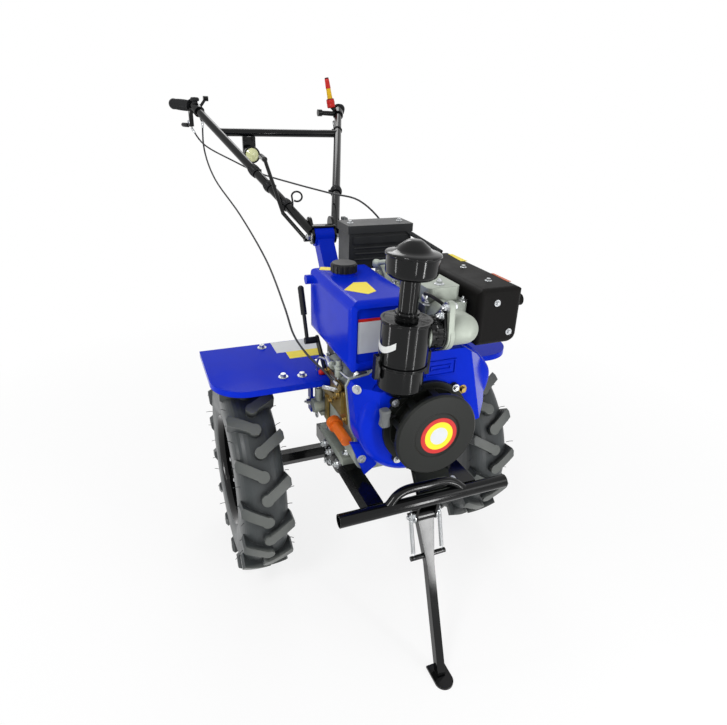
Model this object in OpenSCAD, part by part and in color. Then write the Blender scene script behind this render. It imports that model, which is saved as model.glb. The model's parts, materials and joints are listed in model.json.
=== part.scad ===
// Two-wheeled power tiller: an air-cooled diesel engine on a rail frame, a gearbox with a cross
// axle, tall lugged tyres, a folding front stand and a tilting handlebar.
// X points forward, Y to the operator's left and Z up. The ground is at zero, and sizes are in mm.

/* [Wheels] */
// Tyre radius out to the lug tips
tyre_r = 290; // [275:1:305]
// Tyre width over the lugs
tyre_w = 132; // [124:1:140]
// Thickness of the tyre wall
tyre_wall = 14; // [10:1:16]
// Height of a lug above the carcass
lug_h = 18; // [14:1:20]
// Width of a lug bar
lug_w = 26; // [22:1:30]
// Lugs in each of the two rows
lug_count = 15; // [12:1:16]
// Radius of the rim's bead seat
rim_r = 153; // [148:1:158]
// Distance between the tyre centre planes
track = 666; // [640:1:700]
// Radius of the wheel shaft where it runs in the gearbox
axle_r = 17; // [14:0.5:19]

/* [Frame] */
// Height of the rail tops above the ground
rail_top = 436; // [428:1:444]
// Width of one rail
rail_w = 40; // [34:1:44]
// Depth of one rail
rail_h = 40; // [34:1:44]
// Distance over the outer faces of the rails
rail_span = 286; // [280:1:296]
// Distance of the bumper tube ahead of the axle
bumper_x = 468; // [460:1:480]
// Length of the bumper tube
bumper_w = 434; // [400:1:460]
// Radius of the bumper tube
bumper_r = 16; // [14:0.5:18]

/* [Stand] */
// Distance from the pivot down to the ground
stand_pivot_z = 380; // [374:1:384]
// How far the foot stands ahead of the pivot
stand_lean = 148; // [130:1:160]
// Width of the square leg
stand_leg_w = 20; // [16:1:24]
// Width of the foot tongue
foot_w = 46; // [40:1:56]

/* [Engine] */
// Height of the crankshaft above the ground
crank_z = 614; // [606:1:622]
// Width of the crankcase
case_w = 270; // [262:1:280]
// Length of the crankcase
case_l = 238; // [230:1:244]
// Radius of the recoil starter cover
recoil_r = 97; // [92:1:102]
// Length of the fuel tank
tank_l = 312; // [290:1:320]
// Width of the fuel tank
tank_w = 164; // [150:1:168]
// Height of the fuel tank
tank_h = 168; // [160:1:174]
// Length of the muffler
muffler_l = 345; // [320:1:350]
// Width of the muffler
muffler_w = 116; // [108:1:122]
// Height of the muffler
muffler_h = 137; // [130:1:142]
// Radius of the air cleaner body
cleaner_r = 51; // [48:1:54]

/* [Fenders] */
// Height of the underside of the fender plates
fender_z = 625; // [618:1:632]
// Length of a fender plate
fender_l = 278; // [260:1:284]
// Distance over the outer edges of the fenders
fender_span = 852; // [836:1:864]

/* [Handlebar] */
// Radius of the arm tubes
arm_r = 14; // [12:0.5:16]
// Height of the arm tips above the ground
tip_z = 1235; // [1210:1:1260]
// Half of the distance between the arm tips
tip_y = 282; // [270:1:292]
// Distance of the arm tips behind the axle
tip_x = 955; // [930:1:970]
// Length of a grip
grip_l = 147; // [130:1:160]
// Radius of a grip
grip_r = 17; // [16.5:0.5:20]

/* [Hidden] */
$fn = 64;

// Overrun of every cut past the face it opens
over = 1;
// Gap between curved faces that sit together
seat_gap = 0.3;
// Step that keeps a bar's sides off its round end
bead = 0.2;
// Radial running clearance of a shaft in its bore
run_gap = 0.05;

// Colours
black = "#1b1c1e";
blue = "#1f39c4";
cast_grey = "#9a9c98";
zinc = "#c9b46a";
rubber = "#2a2a2b";
steel = "#b9bcc0";

// Wheel section
half_track = track / 2;
half_w = tyre_w / 2;
carcass_r = tyre_r - lug_h;
bead_angle = 50;
round_share = 0.6;
bead_share = pow(sin(bead_angle), round_share);
section_h = (carcass_r - rim_r) / (1 + bead_share);
section_r = carcass_r - section_h;
crown_drop = 7;
shoulder_drop = 42;
lug_slant = 42;
lug_inner_y = 2;
crown_angle = 24;
lug_sink = 30;
lug_nose_r = 15.6;
lug_phase_share = 0.08;
lug_side = 4.5;
rim_wall = 4;
rim_lip_angle = 12;
rim_disc_t = 6;
rim_disc_y = 14;
dish_in_r = 68;
dish_out_r = 138;
dish_slope = 16;
dish_rise = 14;
hand_hole_r = 11;
hand_holes = 6;
hub_flange_r = 62;
hub_flange_t = 8;
sleeve_flats = 40;
sleeve_r = sleeve_flats / (2 * cos(30));
bolt_circle_r = 44;
bolt_hole_r = 6;
bolt_count = 4;

// Gearbox
gear_half_w = 62;
gear_low_r = 80;
gear_top_r = 70;
gear_front = 75;
gear_front_z = 376;
gear_rib_t = 12;
gear_rib_h = 10;
cover_r = 46;
cover_t = 8;
mid_cover_r = 38;
mid_cover_z = 470;
boss_r = 52;
boss_y = 88;
shaft_depth = 60;
axle_z = tyre_r;
release_z = 700;
release_r = 9;
release_t = 8;
release_l = 60;
hub_in_y = boss_y + seat_gap;

// Frame
rail_wall = 5;
rail_in_y = rail_span / 2 - rail_w;
rail_out_y = rail_span / 2;
cross_l = 36;
rail_front = bumper_x - bumper_r - seat_gap;
bumper_drop = 10;
bumper_z = rail_top - bumper_drop;
bumper_wall = 3;
bumper_bore_l = 45;
bow_r = 11;
bow_half = 88;
bow_rise = 34;
bow_back = 10;
plate_back = 120;

// Stand
pivot_back = 5;
stand_pivot_x = bumper_x - pivot_back;
stand_angle = atan2(stand_lean, stand_pivot_z);
stand_len = norm([stand_lean, stand_pivot_z]);
stand_pin_r = 7;
stand_boss_r = 14;
stand_boss_w = 44;
bracket_t = 6;
bracket_w = 28;
fork_l = 120;
ear_drop = 100;
ear_half = 46;
ear_r = 6;
foot_t = 6;
foot_l = 70;
foot_back = 30;
spring_r = 5.5;
spring_y = 38;
peg_r = 3;
peg_rise = 14;
peg_l = 17;
peg = [stand_pivot_x + peg_r, stand_pivot_z + peg_rise];

// Engine
case_x = gear_front + cross_l;
base_h = 20;
base_l = 178;
base_in = 20;
flange_t = 6;
flange_share = 1.02;
pan_inset = 24;
pan_t = 5;
case_top = 662;
case_fillet = 36;
shroud_l = 78;
shroud_x = case_x + case_l;
drum_r = 131;
drum_y = -19;
drum_round = 26;
shroud_top = 786;
shroud_half = 163;
shroud_shares = [
    [-0.92, 0], [-0.97, 0.44], [-0.92, 0.535], [-0.6, 0.575], [-0.37, 0.73], [0, 1], [0.53, 0.995], [0.9, 0.76],
    [1.12, 0.58], [1.29, 0.36], [1.29, 0.13], [1.18, -0.05], [0.85, -0.12], [0.69, -0.08]
];
wing_y = 146;
wing_drop = 11;
wing_lean = 13.8;
wing_angle = 50;
cheek_cut_y = -112;
cheek_angle = 44;
ear_shares = [[-0.92, -0.4], [-0.69, -0.96], [-0.51, -0.83], [-0.35, -0.5]];
ear_t = 10;
rib_w = 74;
rib_h = 36;
rib_y = -8;
rib_z = 727;
rib_t = 3;
rib_line = 6;
shroud_clear = 5;
recoil_l = 62;
recoil_base_t = 10;
recoil_lip = 7;
recoil_base_r = recoil_r + recoil_lip;
recoil_disc_t = 12;
recoil_edge = 4;
cage_r = 90;
cage_depth = 16;
cage_window = 40;
cage_bar = 4;
cage_windows = 10;
cage_ears = 4;
cage_ear_r = 10;
cage_ear_angle = 140;
disc_ring_r = 52;
disc_ring_w = 3;
pull_t = 24;
pull_h = 40;
cyl_x = 150;
cyl_l = 186;
cyl_y = 84;
cyl_w = 108;
cyl_top = 800;
fin_t = 5;
fin_pitch = 14;
fin_depth = 12;
head_h = 56;
rocker_h = 34;
rocker_inset = 12;
tank_x = 28;
tank_y = -147;
tank_z = 710;
tank_round = 22;
neck_rise = 8;
neck_out = 4;
panel_inset = 14;
panel_t = 7;
boss_x = 32;
boss_z = 852;
tank_boss_r = 12;
tank_boss_l = 16;
cap_x = 120;
cap_y = -84;
cap_r = 33;
cap_h = 22;
cap_flutes = 16;
cap_flute_r = 4;
bracket_leg = 24;
cleaner_x = 440;
cleaner_y = -70;
bowl_z = 711;
bowl_h = 77;
bowl_in = 2.5;
cleaner_lean = 2.5;
bowl_r = cleaner_r - bowl_in;
bowl_edge = 16;
body_h = 87;
body_edge = 5;
rim_out = 2;
rim_h = 3.5;
neck_ring_out = 5;
neck_ring_h = 5;
clip_t = 8;
clip_b = 14;
clip_h = 52;
clip_drop = 40;
neck_r = 20;
neck_h = 83;
cleaner_cap_r = 53;
cleaner_cap_h = 62;
cap_edge = 8;
cap_skirt_in = 2;
cap_brim_z = 44;
cap_brim_t = 5;
cleaner_peak = 22;
elbow_r = 32;
elbow_z = 836;
elbow_y = 66;
elbow_flange_r = 39;
elbow_flange_t = 10;
elbow_flange_y = 14;
muffler_x = 34;
muffler_gap = 6;
muffler_y = cyl_y + cyl_w / 2 + muffler_gap;
muffler_z = 756;
muffler_cut = 26;

muffler_round = 16;
exhaust_r = 20;
exhaust_x = 250;
tail_r = 14;
tail_l = 26;

// Engine side fittings
gov_x = 150;
gov_z = 560;
gov_l = 150;
gov_h = 92;
gov_t = 4;
bridge_x = 224;
bridge_z = 588;
bridge_l = 68;
bridge_h = 58;
bridge_off = 12;
bar_x = 150;
bar_w = 20;
bar_z = 500;
bar_h = 116;
arm_w = 7;
arm_t = 4;
arm_out = 17;
pump_x = 128;
pump_z = 528;
pump_r = 19;
pump_l = 34;
pump_head_r = 11;
pump_head_l = 52;
fill_r = 13;
fill_x = 268;
fill_l = 72;
fill_z = 542;
fill_head_r = 18;
fill_head_l = 22;
lever_plate_t = 5;
lever_plate_r = 12;
lever_low_x = 126;
lever_low_z = 642;
lever_hub_x = 72;
lever_hub_z = 692;
lever_hub_l = 30;
lever_hub_r = 9;
speed_r = 5;
speed_knob_r = 8;
speed_x = 18;
speed_z = 818;
speed_share = 0.5;

// Fenders
fender_t = 3;
fender_x = -92;
fender_in = 2;
fender_in_y = rail_out_y - fender_in;
fender_corner = 92;
lip_h = 16;
stay_w = 40;
stay_t = 6;
stay_front_x = 118;
stay_reach = 268;
bar_low = 398;
fender_bar_x = -84;
fender_bar_w = 28;
fender_bar_t = 8;
fender_bar_y = 111;
tab_in_y = 105;
tab_l = 142;
spacer_z = 430;
spacer_r = 11;

// Rear box and handlebar column
box_x = -130;
box_y = -8;
box_z = 838;
box_l = 84;
box_w = 188;
box_h = 122;
lid_h = 22;
lid_out = 4;
band_z = 72;
band_h = 20;
band_t = 5;
band_end = 12;
strap_r = 6;
strap_from = [-60, 165, 940];
strap_x = 60;
strap_y = 222;
post_w = 50;
post_l = 24;
pivot_x = -300;
pivot_z = 880;
pivot_r = 8;
head_r = 30;
head_w = 60;
column_w = 50;
column_base_t = 12;
column_low = 560;
column_high = 655;

// Hitch
hitch_l = 82;
hitch_w = 76;
hitch_h = 72;
hitch_z = 322;
hitch_bore_r = 9;
hitch_edge = 26;

// Handlebar
base_x = -325;
base_y = 50;
base_z = 912;
arm_base = [base_x, base_y, base_z];
arm_tip = [-tip_x, tip_y, tip_z];
grip_shares = [-0.921, 0.389, 0.034];
grip_dir = grip_shares / norm(grip_shares);
grip_end = arm_tip + grip_dir * (grip_l + arm_r);
grip_depth = 110;
cross_x = -799;
cross_share = (cross_x - arm_base.x) / (arm_tip.x - arm_base.x);
cross_at = arm_base + (arm_tip - arm_base) * cross_share;
cross_r = 13.5;
cheek_t = 8;
cheek_r = 24;
yoke_gap = 1;
cheek_out = head_w / 2 + yoke_gap + cheek_t;
arm_lap = 40;
knob_r = 22;
knob_t = 20;
lamp_y = -118;
lamp_z = 1083;
lamp_r = 26;
lamp_l = 46;
lamp_back_r = 15;
lamp_rim = 6;
lamp_rim_out = 3;
lamp_arm = 14;
lamp_arm_w = 46;

arm_dir = (arm_tip - arm_base) / norm(arm_tip - arm_base);
arm_start = arm_base - arm_dir * arm_lap;
clamp_back = 30;
clamp_at = arm_tip - arm_dir * clamp_back;
clamp_wall = 6;
clamp_l = 24;
lever_stem_r = 6;
lever_foot = [-943, 249, 1246];
lever_top = [-955, 232, 1351];
lever_base_share = 0.28;
lever_base_r = 15;
lever_tip_r = 8;
switch_tip = [-935, 205, 1225];
switch_r = 9;
switch_knob_r = 13;
switch_knob_l = 16;
thumb_r = 5;
thumb_tip = [-945, 240, 1262];
trigger_l = 52;
trigger_r = 5;
hanger_l = 12;
hanger_w = 8;
hanger_z = 1165;
hanger_at = [-952, 298, 1222];
nub_end = [-918, 262, 1186];
nub_r = 5;
paddle_r = 9;
paddle_l = 18;
shift_r = 6;
shift_boss_r = 9;
shift_boss_l = 20;
shift_foot = [-308, -54, 872];
shift_bend = [-380, -105, 940];
shift_top = [-520, -125, 1088];
shift_tip = [-585, -122, 1092];
stud_r = 6;
knob_y = 72;

// Whole part
front_x = stand_pivot_x + stand_lean + foot_l - foot_back;
rear_x = grip_end.x - grip_r * sqrt(1 - pow(grip_dir.x, 2));
centre_x = (front_x + rear_x) / 2;

// Cables, as points by hand
cable_r = 3.5;
cable_sides = 8;
clutch_route = [
    [-952, -298, 1161], [-905, -262, 1105], [-800, -181, 1060], [-700, -103, 1025], [-560, -14, 1005],
    [-420, 65, 992], [-300, 120, 985], [-200, 160, 930], [-152, 165, 860], [-110, 140, 790],
    [-40, 90, 722], [30, 65, 700], [83.5, 60, 696]
];
throttle_route = [
    [-917.5, -261.5, 1184.5], [-880, -268, 1090], [-760, -254, 1000], [-560, -208, 907], [-330, -176, 806],
    [-100, -182, 735], [20, -188, 692], [110, -176, 668], [200, -162, 662], [279.6, -154, 660]
];
stop_route = [
    [-920, 250, 1195], [-860, 235, 1150], [-740, 205, 1085], [-520, 125, 960], [-360, 80, 880],
    [-250, 75, 830], [-150, 115, 770], [-60, 130, 700], [40, 125, 655], [110, 120, 640]
];

// Helpers

module placed() translate([-centre_x, 0, 0]) children();

// Children drawn in the XZ plane, thick along Y from y0
module xz_slab(y0, t) translate([0, y0 + t, 0]) rotate([90, 0, 0]) linear_extrude(t) children();

// Children drawn in the YZ plane, thick along X from x0
module yz_slab(x0, t) translate([x0, 0, 0]) rotate([90, 0, 90]) linear_extrude(t) children();

// Round bar from one point to another
module rod(from, to, r) {
    d = to - from;
    translate(from) rotate([0, acos(d.z / norm(d)), atan2(d.y, d.x)]) cylinder(h = norm(d), r = r);
}

// Flat link with round ends, in two dimensions
module link(from, to, r) {
    d = to - from;
    translate(from) circle(r);
    translate(to) circle(r);
    translate(from) rotate(atan2(d.y, d.x)) translate([0, bead - r]) square([norm(d), 2 * (r - bead)]);
}

// Rectangle with round corners, in two dimensions, from its lower corner
module round_rect(size, r) {
    translate([r, 0]) square([size.x - 2 * r, size.y]);
    translate([0, r]) square([size.x, size.y - 2 * r]);
    for (x = [r, size.x - r], y = [r, size.y - r]) translate([x, y]) circle(r);
}

// Box with every edge round, from its lower corner
module soft_box(size, r) intersection() {
    linear_extrude(size.z) round_rect([size.x, size.y], r);
    xz_slab(0, size.y) round_rect([size.x, size.z], r);
    yz_slab(0, size.x) round_rect([size.y, size.z], r);
}

// Left child and its mirror image on the right
module on_side(side) mirror([0, side == "right" ? 1 : 0, 0]) children();

// Tube swept along a route of points
function along(path, i) =
    let (a = path[max(i - 1, 0)], b = path[min(i + 1, len(path) - 1)]) (b - a) / norm(b - a);
function curve_point(p, i, t) =
    let (n = len(p) - 1, a = p[max(i - 1, 0)], b = p[i], c = p[i + 1], d = p[min(i + 2, n)])
    0.5 * (2 * b + (c - a) * t + (2 * a - 5 * b + 4 * c - d) * t * t + (3 * b - a - 3 * c + d) * t * t * t);
function smooth(p, steps) = concat(
    [for (i = [0 : len(p) - 2], s = [0 : steps - 1]) curve_point(p, i, s / steps)], [p[len(p) - 1]]);
module cable(route, r) {
    path = smooth(route, 4);
    count = len(path);
    points = [for (i = [0 : count - 1]) let (
        t = along(path, i), u = cross(t, [0, 0, 1]) / norm(cross(t, [0, 0, 1])), v = cross(u, t))
        for (k = [0 : cable_sides - 1])
            path[i] + r * (u * cos(360 * k / cable_sides) + v * sin(360 * k / cable_sides))];
    sides = [for (i = [0 : count - 2], k = [0 : cable_sides - 1]) let (m = (k + 1) % cable_sides)
        [i * cable_sides + k, (i + 1) * cable_sides + k, (i + 1) * cable_sides + m, i * cable_sides + m]];
    ends = [[for (k = [0 : cable_sides - 1]) k],
        [for (k = [cable_sides - 1 : -1 : 0]) (count - 1) * cable_sides + k]];
    polyhedron(points, concat(sides, ends));
}

// Wheels, drawn about Z with +Z pointing away from the machine

function squash(c) = sign(c) * pow(abs(c), round_share);
function carcass(depth, from, to, steps) = [for (i = [0 : steps]) let (a = from + (to - from) * i / steps)
    [section_r + (section_h - depth) * squash(sin(a)), (half_w - lug_side - depth) * squash(cos(a))]];

module tyre_shell() rotate_extrude($fn = 96) polygon(concat(
    carcass(0, -bead_angle, 180 + bead_angle, 28),
    carcass(tyre_wall, 180 + bead_angle, -bead_angle, 20)));

// Ring that holds the lugs, from inside the tyre wall out to the tips
module lug_ring() rotate_extrude($fn = 96) polygon(concat(
    [for (i = [-8 : 8]) let (y = half_w * i / 8) [tyre_r - crown_drop * pow(y / half_w, 2), y]],
    [[tyre_r - shoulder_drop, half_w]],
    carcass(tyre_wall / 2, crown_angle, 180 - crown_angle, 16),
    [[tyre_r - shoulder_drop, -half_w]]));

// One lug bar, from the shoulder to its round inner end
module lug_bar() translate([carcass_r - lug_sink, 0, 0]) rotate([0, 90, 0]) linear_extrude(lug_sink + lug_h + over) {
    inner = [-lug_inner_y, lug_slant / 2];
    outer = [-half_w - over, -lug_slant / 2];
    d = outer - inner;
    translate(inner) circle(lug_nose_r);
    translate(inner) rotate(atan2(d.y, d.x)) translate([0, -lug_w / 2]) square([norm(d), lug_w]);
}

module tyre() color(rubber) {
    tyre_shell();
    intersection() {
        lug_ring();
        for (i = [0 : lug_count - 1]) {
            rotate(90 + (i - lug_phase_share) * 360 / lug_count) lug_bar();
            rotate(90 + (i + 1 / 2 - lug_phase_share) * 360 / lug_count) mirror([0, 0, 1]) lug_bar();
        }
    }
}

module rim() color(black) difference() {
    union() {
        rotate_extrude($fn = 96) polygon(concat(
            carcass(-seat_gap, -bead_angle, rim_lip_angle - bead_angle, 3),
            carcass(-rim_wall, rim_lip_angle - bead_angle, -bead_angle - rim_lip_angle, 4),
            [[rim_r - rim_wall, 0]],
            carcass(-rim_wall, 180 + bead_angle + rim_lip_angle, 180 + bead_angle - rim_lip_angle, 4),
            carcass(-seat_gap, 180 + bead_angle - rim_lip_angle, 180 + bead_angle, 3)));
        rotate_extrude($fn = 96) translate([0, rim_disc_y]) polygon([
            [0, 0], [dish_in_r + bead, 0], [dish_in_r + dish_slope, dish_rise], [dish_out_r - dish_slope, dish_rise],
            [dish_out_r - bead, 0], [rim_r - rim_wall / 2, 0], [rim_r - rim_wall / 2, rim_disc_t], [dish_out_r, rim_disc_t],
            [dish_out_r - dish_slope, rim_disc_t + dish_rise], [dish_in_r + dish_slope, rim_disc_t + dish_rise],
            [dish_in_r, rim_disc_t], [0, rim_disc_t]]);
    }
    translate([0, 0, rim_disc_y]) for (i = [0 : hand_holes - 1]) rotate((i + 1 / 2) * 360 / hand_holes)
        translate([(dish_in_r + dish_out_r) / 2, 0, 0]) cylinder(h = 2 * (rim_disc_t + dish_rise), r = hand_hole_r);
    translate([0, 0, rim_disc_y - over]) for (i = [0 : bolt_count - 1])
        rotate(i * 360 / bolt_count) translate([bolt_circle_r, 0, 0])
            cylinder(h = rim_disc_t + 2 * over, r = bolt_hole_r);
}

module hub() color(black) {
    inner = hub_in_y - half_track;
    translate([0, 0, rim_disc_y - hub_flange_t]) cylinder(h = hub_flange_t, r = hub_flange_r);
    translate([0, 0, inner]) cylinder(h = rim_disc_y - hub_flange_t - inner, r = sleeve_r, $fn = 6);
    translate([0, 0, inner - shaft_depth]) cylinder(h = shaft_depth, r = axle_r);
}

module on_wheel(side) on_side(side) translate([0, half_track, axle_z]) rotate([-90, 0, 0]) children();

module tyre_left() placed() on_wheel("left") tyre();
module tyre_right() placed() on_wheel("right") tyre();
module rim_left() placed() on_wheel("left") rim();
module rim_right() placed() on_wheel("right") rim();
module hub_left() placed() on_wheel("left") hub();
module hub_right() placed() on_wheel("right") hub();

// Gearbox and frame

module gear_outline(grow) {
    translate([0, axle_z]) circle(gear_low_r + grow);
    translate([0, crank_z]) circle(gear_top_r + grow);
    polygon([
        [-gear_low_r - grow, axle_z], [gear_low_r + grow, axle_z], [gear_front, gear_front_z],
        [gear_front, crank_z], [-gear_top_r - grow, crank_z], [-gear_top_r - grow, column_low],
        [-gear_low_r - grow, hitch_z + hitch_h]]);
}

module gearbox() placed() color(black) difference() {
    union() {
        xz_slab(-gear_half_w, 2 * gear_half_w) intersection() {
            gear_outline(0);
            translate([-2 * gear_low_r, 0]) square([2 * gear_low_r + gear_front, 2 * crank_z]);
        }
        xz_slab(-gear_rib_t / 2, gear_rib_t) intersection() {
            gear_outline(gear_rib_h);
            translate([-2 * gear_low_r, 0]) square([2 * gear_low_r, 2 * crank_z]);
        }
        translate([0, -boss_y, axle_z]) rotate([-90, 0, 0]) cylinder(h = 2 * boss_y, r = boss_r);
        translate([gear_front, -rail_in_y, rail_top - rail_h]) cube([cross_l, 2 * rail_in_y, rail_h]);
        clutch_bell();
        translate([0, -gear_half_w - cover_t, crank_z]) rotate([-90, 0, 0]) cylinder(h = 2 * (gear_half_w + cover_t), r = cover_r);
        translate([0, -gear_half_w - cover_t, mid_cover_z]) rotate([-90, 0, 0])
            cylinder(h = 2 * (gear_half_w + cover_t), r = mid_cover_r);
    }
    for (s = [-1, 1]) translate([0, s * boss_y, axle_z]) rotate([s * 90, 0, 0]) translate([0, 0, -over])
        cylinder(h = shaft_depth + 2 * over, r = axle_r + run_gap);
    translate([-2 * gear_low_r, -column_w, column_low - over])
        cube([2 * gear_low_r - gear_top_r, 2 * column_w, column_high - column_low + 2 * over]);
    translate([-2 * gear_low_r, -hitch_w / 2 - over, hitch_z - over])
        cube([gear_low_r, hitch_w + 2 * over, hitch_h + 2 * over]);
}

// Bell round the clutch, with the release arm on top
module clutch_bell() {
    translate([gear_front, 0, crank_z]) rotate([0, 90, 0])
        cylinder(h = cross_l, r1 = gear_top_r, r2 = gear_top_r + cross_l / 2);
    translate([gear_front + cross_l / 2, 0, crank_z]) cylinder(h = release_z - crank_z, r = release_r);
    translate([gear_front + cross_l / 2, 0, release_z - release_t]) linear_extrude(release_t)
        link([0, 0], [0, release_l], release_r);
}

module hitch() placed() color(black) difference() {
    translate([-gear_low_r - hitch_l, -hitch_w / 2, hitch_z]) cube([hitch_l, hitch_w, hitch_h]);
    translate([-gear_low_r - hitch_l + hitch_edge, 0, hitch_z - over])
        cylinder(h = hitch_h + 2 * over, r = hitch_bore_r);
}

module rail() color(black) translate([gear_front, rail_in_y, rail_top - rail_h]) difference() {
    cube([rail_front - gear_front, rail_w, rail_h]);
    translate([-over, -over, rail_wall])
        cube([rail_front - gear_front + 2 * over, rail_w - rail_wall + over, rail_h - 2 * rail_wall]);
}

module rail_left() placed() on_side("left") rail();
module rail_right() placed() on_side("right") rail();

module front_plate() placed() color(black)
    translate([rail_front - plate_back, -rail_in_y, rail_top - rail_wall]) cube([plate_back, 2 * rail_in_y, rail_wall]);

module bumper() placed() color(black) translate([bumper_x, -bumper_w / 2, bumper_z]) rotate([-90, 0, 0])
    difference() {
        cylinder(h = bumper_w, r = bumper_r);
        for (z = [-over, bumper_w - bumper_bore_l])
            translate([0, 0, z]) cylinder(h = bumper_bore_l + over, r = bumper_r - bumper_wall);
    }

module bumper_bow() placed() color(black) difference() {
    union() {
        for (s = [-1, 1])
            rod([bumper_x, s * bow_half, bumper_z], [bumper_x - bow_back, s * bow_half, bumper_z + bow_rise], bow_r);
        rod([bumper_x - bow_back, -bow_half, bumper_z + bow_rise],
            [bumper_x - bow_back, bow_half, bumper_z + bow_rise], bow_r);
        for (s = [-1, 1]) translate([bumper_x - bow_back, s * bow_half, bumper_z + bow_rise]) sphere(bow_r + bead);
    }
    translate([bumper_x, -bumper_w, bumper_z]) rotate([-90, 0, 0]) cylinder(h = 2 * bumper_w, r = bumper_r + seat_gap);
}

// Front stand

module stand_bracket() placed() color(black) {
    face_y = stand_boss_w / 2 + seat_gap;
    difference() {
        for (s = [-1, 1]) xz_slab(s * (face_y + bracket_t / 2) - bracket_t / 2, bracket_t)
            link([stand_pivot_x, stand_pivot_z], [bumper_x, bumper_z], bracket_w / 2);
        translate([stand_pivot_x, -stand_boss_w, stand_pivot_z]) rotate([-90, 0, 0])
            cylinder(h = 2 * stand_boss_w, r = stand_pin_r + run_gap);
        translate([bumper_x, -bumper_w, bumper_z]) rotate([-90, 0, 0])
            cylinder(h = 2 * bumper_w, r = bumper_r + seat_gap);
    }
    for (s = [-1, 1]) mirror([0, s < 0 ? 1 : 0, 0]) translate([peg.x, face_y + bracket_t, peg.y])
        rotate([-90, 0, 0]) cylinder(h = peg_l, r = peg_r);
}

// Leg along its own axis, with the pivot at the origin and the foot end down
module stand_leg() placed() color(black) {
    translate([stand_pivot_x, 0, stand_pivot_z]) {
        pin_l = stand_boss_w + 2 * (seat_gap + bracket_t);
        rotate([-90, 0, 0]) translate([0, 0, -stand_boss_w / 2]) cylinder(h = stand_boss_w, r = stand_boss_r);
        rotate([-90, 0, 0]) translate([0, 0, -pin_l / 2]) cylinder(h = pin_l, r = stand_pin_r);
        rotate([0, -stand_angle, 0]) {
            translate([-stand_leg_w / 2, -stand_leg_w / 2, -stand_len + foot_t])
                cube([stand_leg_w, stand_leg_w, stand_len - foot_t - stand_boss_r / 2]);
            translate([-stand_leg_w / 2, 0, 0]) rotate([90, 0, 90]) linear_extrude(stand_leg_w) polygon([
                [-stand_boss_w / 2, 0], [-stand_leg_w / 2, -fork_l], [stand_leg_w / 2, -fork_l], [stand_boss_w / 2, 0]]);
            translate([0, -ear_half, -ear_drop]) rotate([-90, 0, 0]) cylinder(h = 2 * ear_half, r = ear_r);
        }
    }
    foot_x = stand_pivot_x + stand_lean;
    translate([foot_x - foot_back, -foot_w / 2, 0]) linear_extrude(foot_t) {
        square([foot_l - foot_w / 2, foot_w]);
        translate([foot_l - foot_w / 2, foot_w / 2]) circle(foot_w / 2);
    }
}

module spring_at(side) on_side(side) {
    top = [peg.x, spring_y, peg.y];
    foot = [stand_pivot_x + ear_drop * sin(stand_angle), spring_y, stand_pivot_z - ear_drop * cos(stand_angle)];
    way = (foot - top) / norm(foot - top);
    color(steel) rod(top + way * (peg_r + seat_gap), foot - way * (ear_r + seat_gap), spring_r);
}

module spring_left() placed() spring_at("left");
module spring_right() placed() spring_at("right");

// Engine

module crankcase() placed() color(cast_grey) {
    foot_in = case_w / 2 - case_fillet - base_in;
    for (s = ["left", "right"]) on_side(s) translate([case_x, foot_in, rail_top]) cube([base_l, rail_out_y - foot_in, base_h]);
    yz_slab(case_x, case_l) translate([-case_w / 2, rail_top + base_h])
        round_rect([case_w, case_top - rail_top - base_h], case_fillet);
    yz_slab(shroud_x - flange_t, flange_t) {
        shroud_outline(flange_share);
        translate([drum_y, crank_z]) circle(drum_r * flange_share);
    }
    xz_slab(case_w / 2 - pan_t, 2 * pan_t) translate([case_x + pan_inset, rail_top + base_h + pan_inset])
        round_rect([case_l - 2 * pan_inset, case_top - rail_top - base_h - 2 * pan_inset], pan_inset);
    for (x = [case_x, tank_x + tank_l - 2 * bracket_leg])
        translate([x, -case_w / 2 + 2 * bracket_leg, case_top]) cube([bracket_leg, 2 * bracket_leg, tank_z - case_top]);
}

module cylinder_fins() for (z = [case_top + fin_pitch : fin_pitch : cyl_top - fin_pitch])
    translate([cyl_x, cyl_y - cyl_w / 2, z]) cube([cyl_l, cyl_w, fin_t]);

module cylinder_block() {
    translate([cyl_x + fin_depth, cyl_y - cyl_w / 2 + fin_depth, case_top])
        cube([cyl_l - 2 * fin_depth, cyl_w - 2 * fin_depth, cyl_top - case_top]);
    translate([cyl_x, cyl_y - cyl_w / 2, cyl_top]) cube([cyl_l, cyl_w, head_h]);
}

module cylinder_node() placed() color(cast_grey) {
    cylinder_block();
    cylinder_fins();
}

module rocker_cover() placed() color(cast_grey) translate([cyl_x + rocker_inset, cyl_y - cyl_w / 2 + rocker_inset, cyl_top + head_h])
    linear_extrude(rocker_h) round_rect([cyl_l - 2 * rocker_inset, cyl_w - 2 * rocker_inset], rocker_inset);

module shroud_outline(grow) translate([0, crank_z])
    polygon([for (p = shroud_shares) [p.x * shroud_half, p.y * (shroud_top - crank_z)] * grow]);

// Half-space in front of a slanting fold in the shroud's face
module fold_cut(y, angle, lean) translate([shroud_x + shroud_l, y, crank_z - wing_drop]) rotate([lean, 0, 0])
    rotate([0, 0, angle]) translate([0, -shroud_top, -shroud_top]) cube([shroud_top, 2 * shroud_top, 2 * shroud_top]);

module shroud_rib(inset) difference() {
    translate([inset, inset]) square([rib_w - 2 * inset, rib_h - 2 * inset]);
    translate([inset + rib_line / 2, inset + rib_line / 2]) square([rib_w - 2 * inset - rib_line, rib_h - 2 * inset - rib_line]);
}

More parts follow.
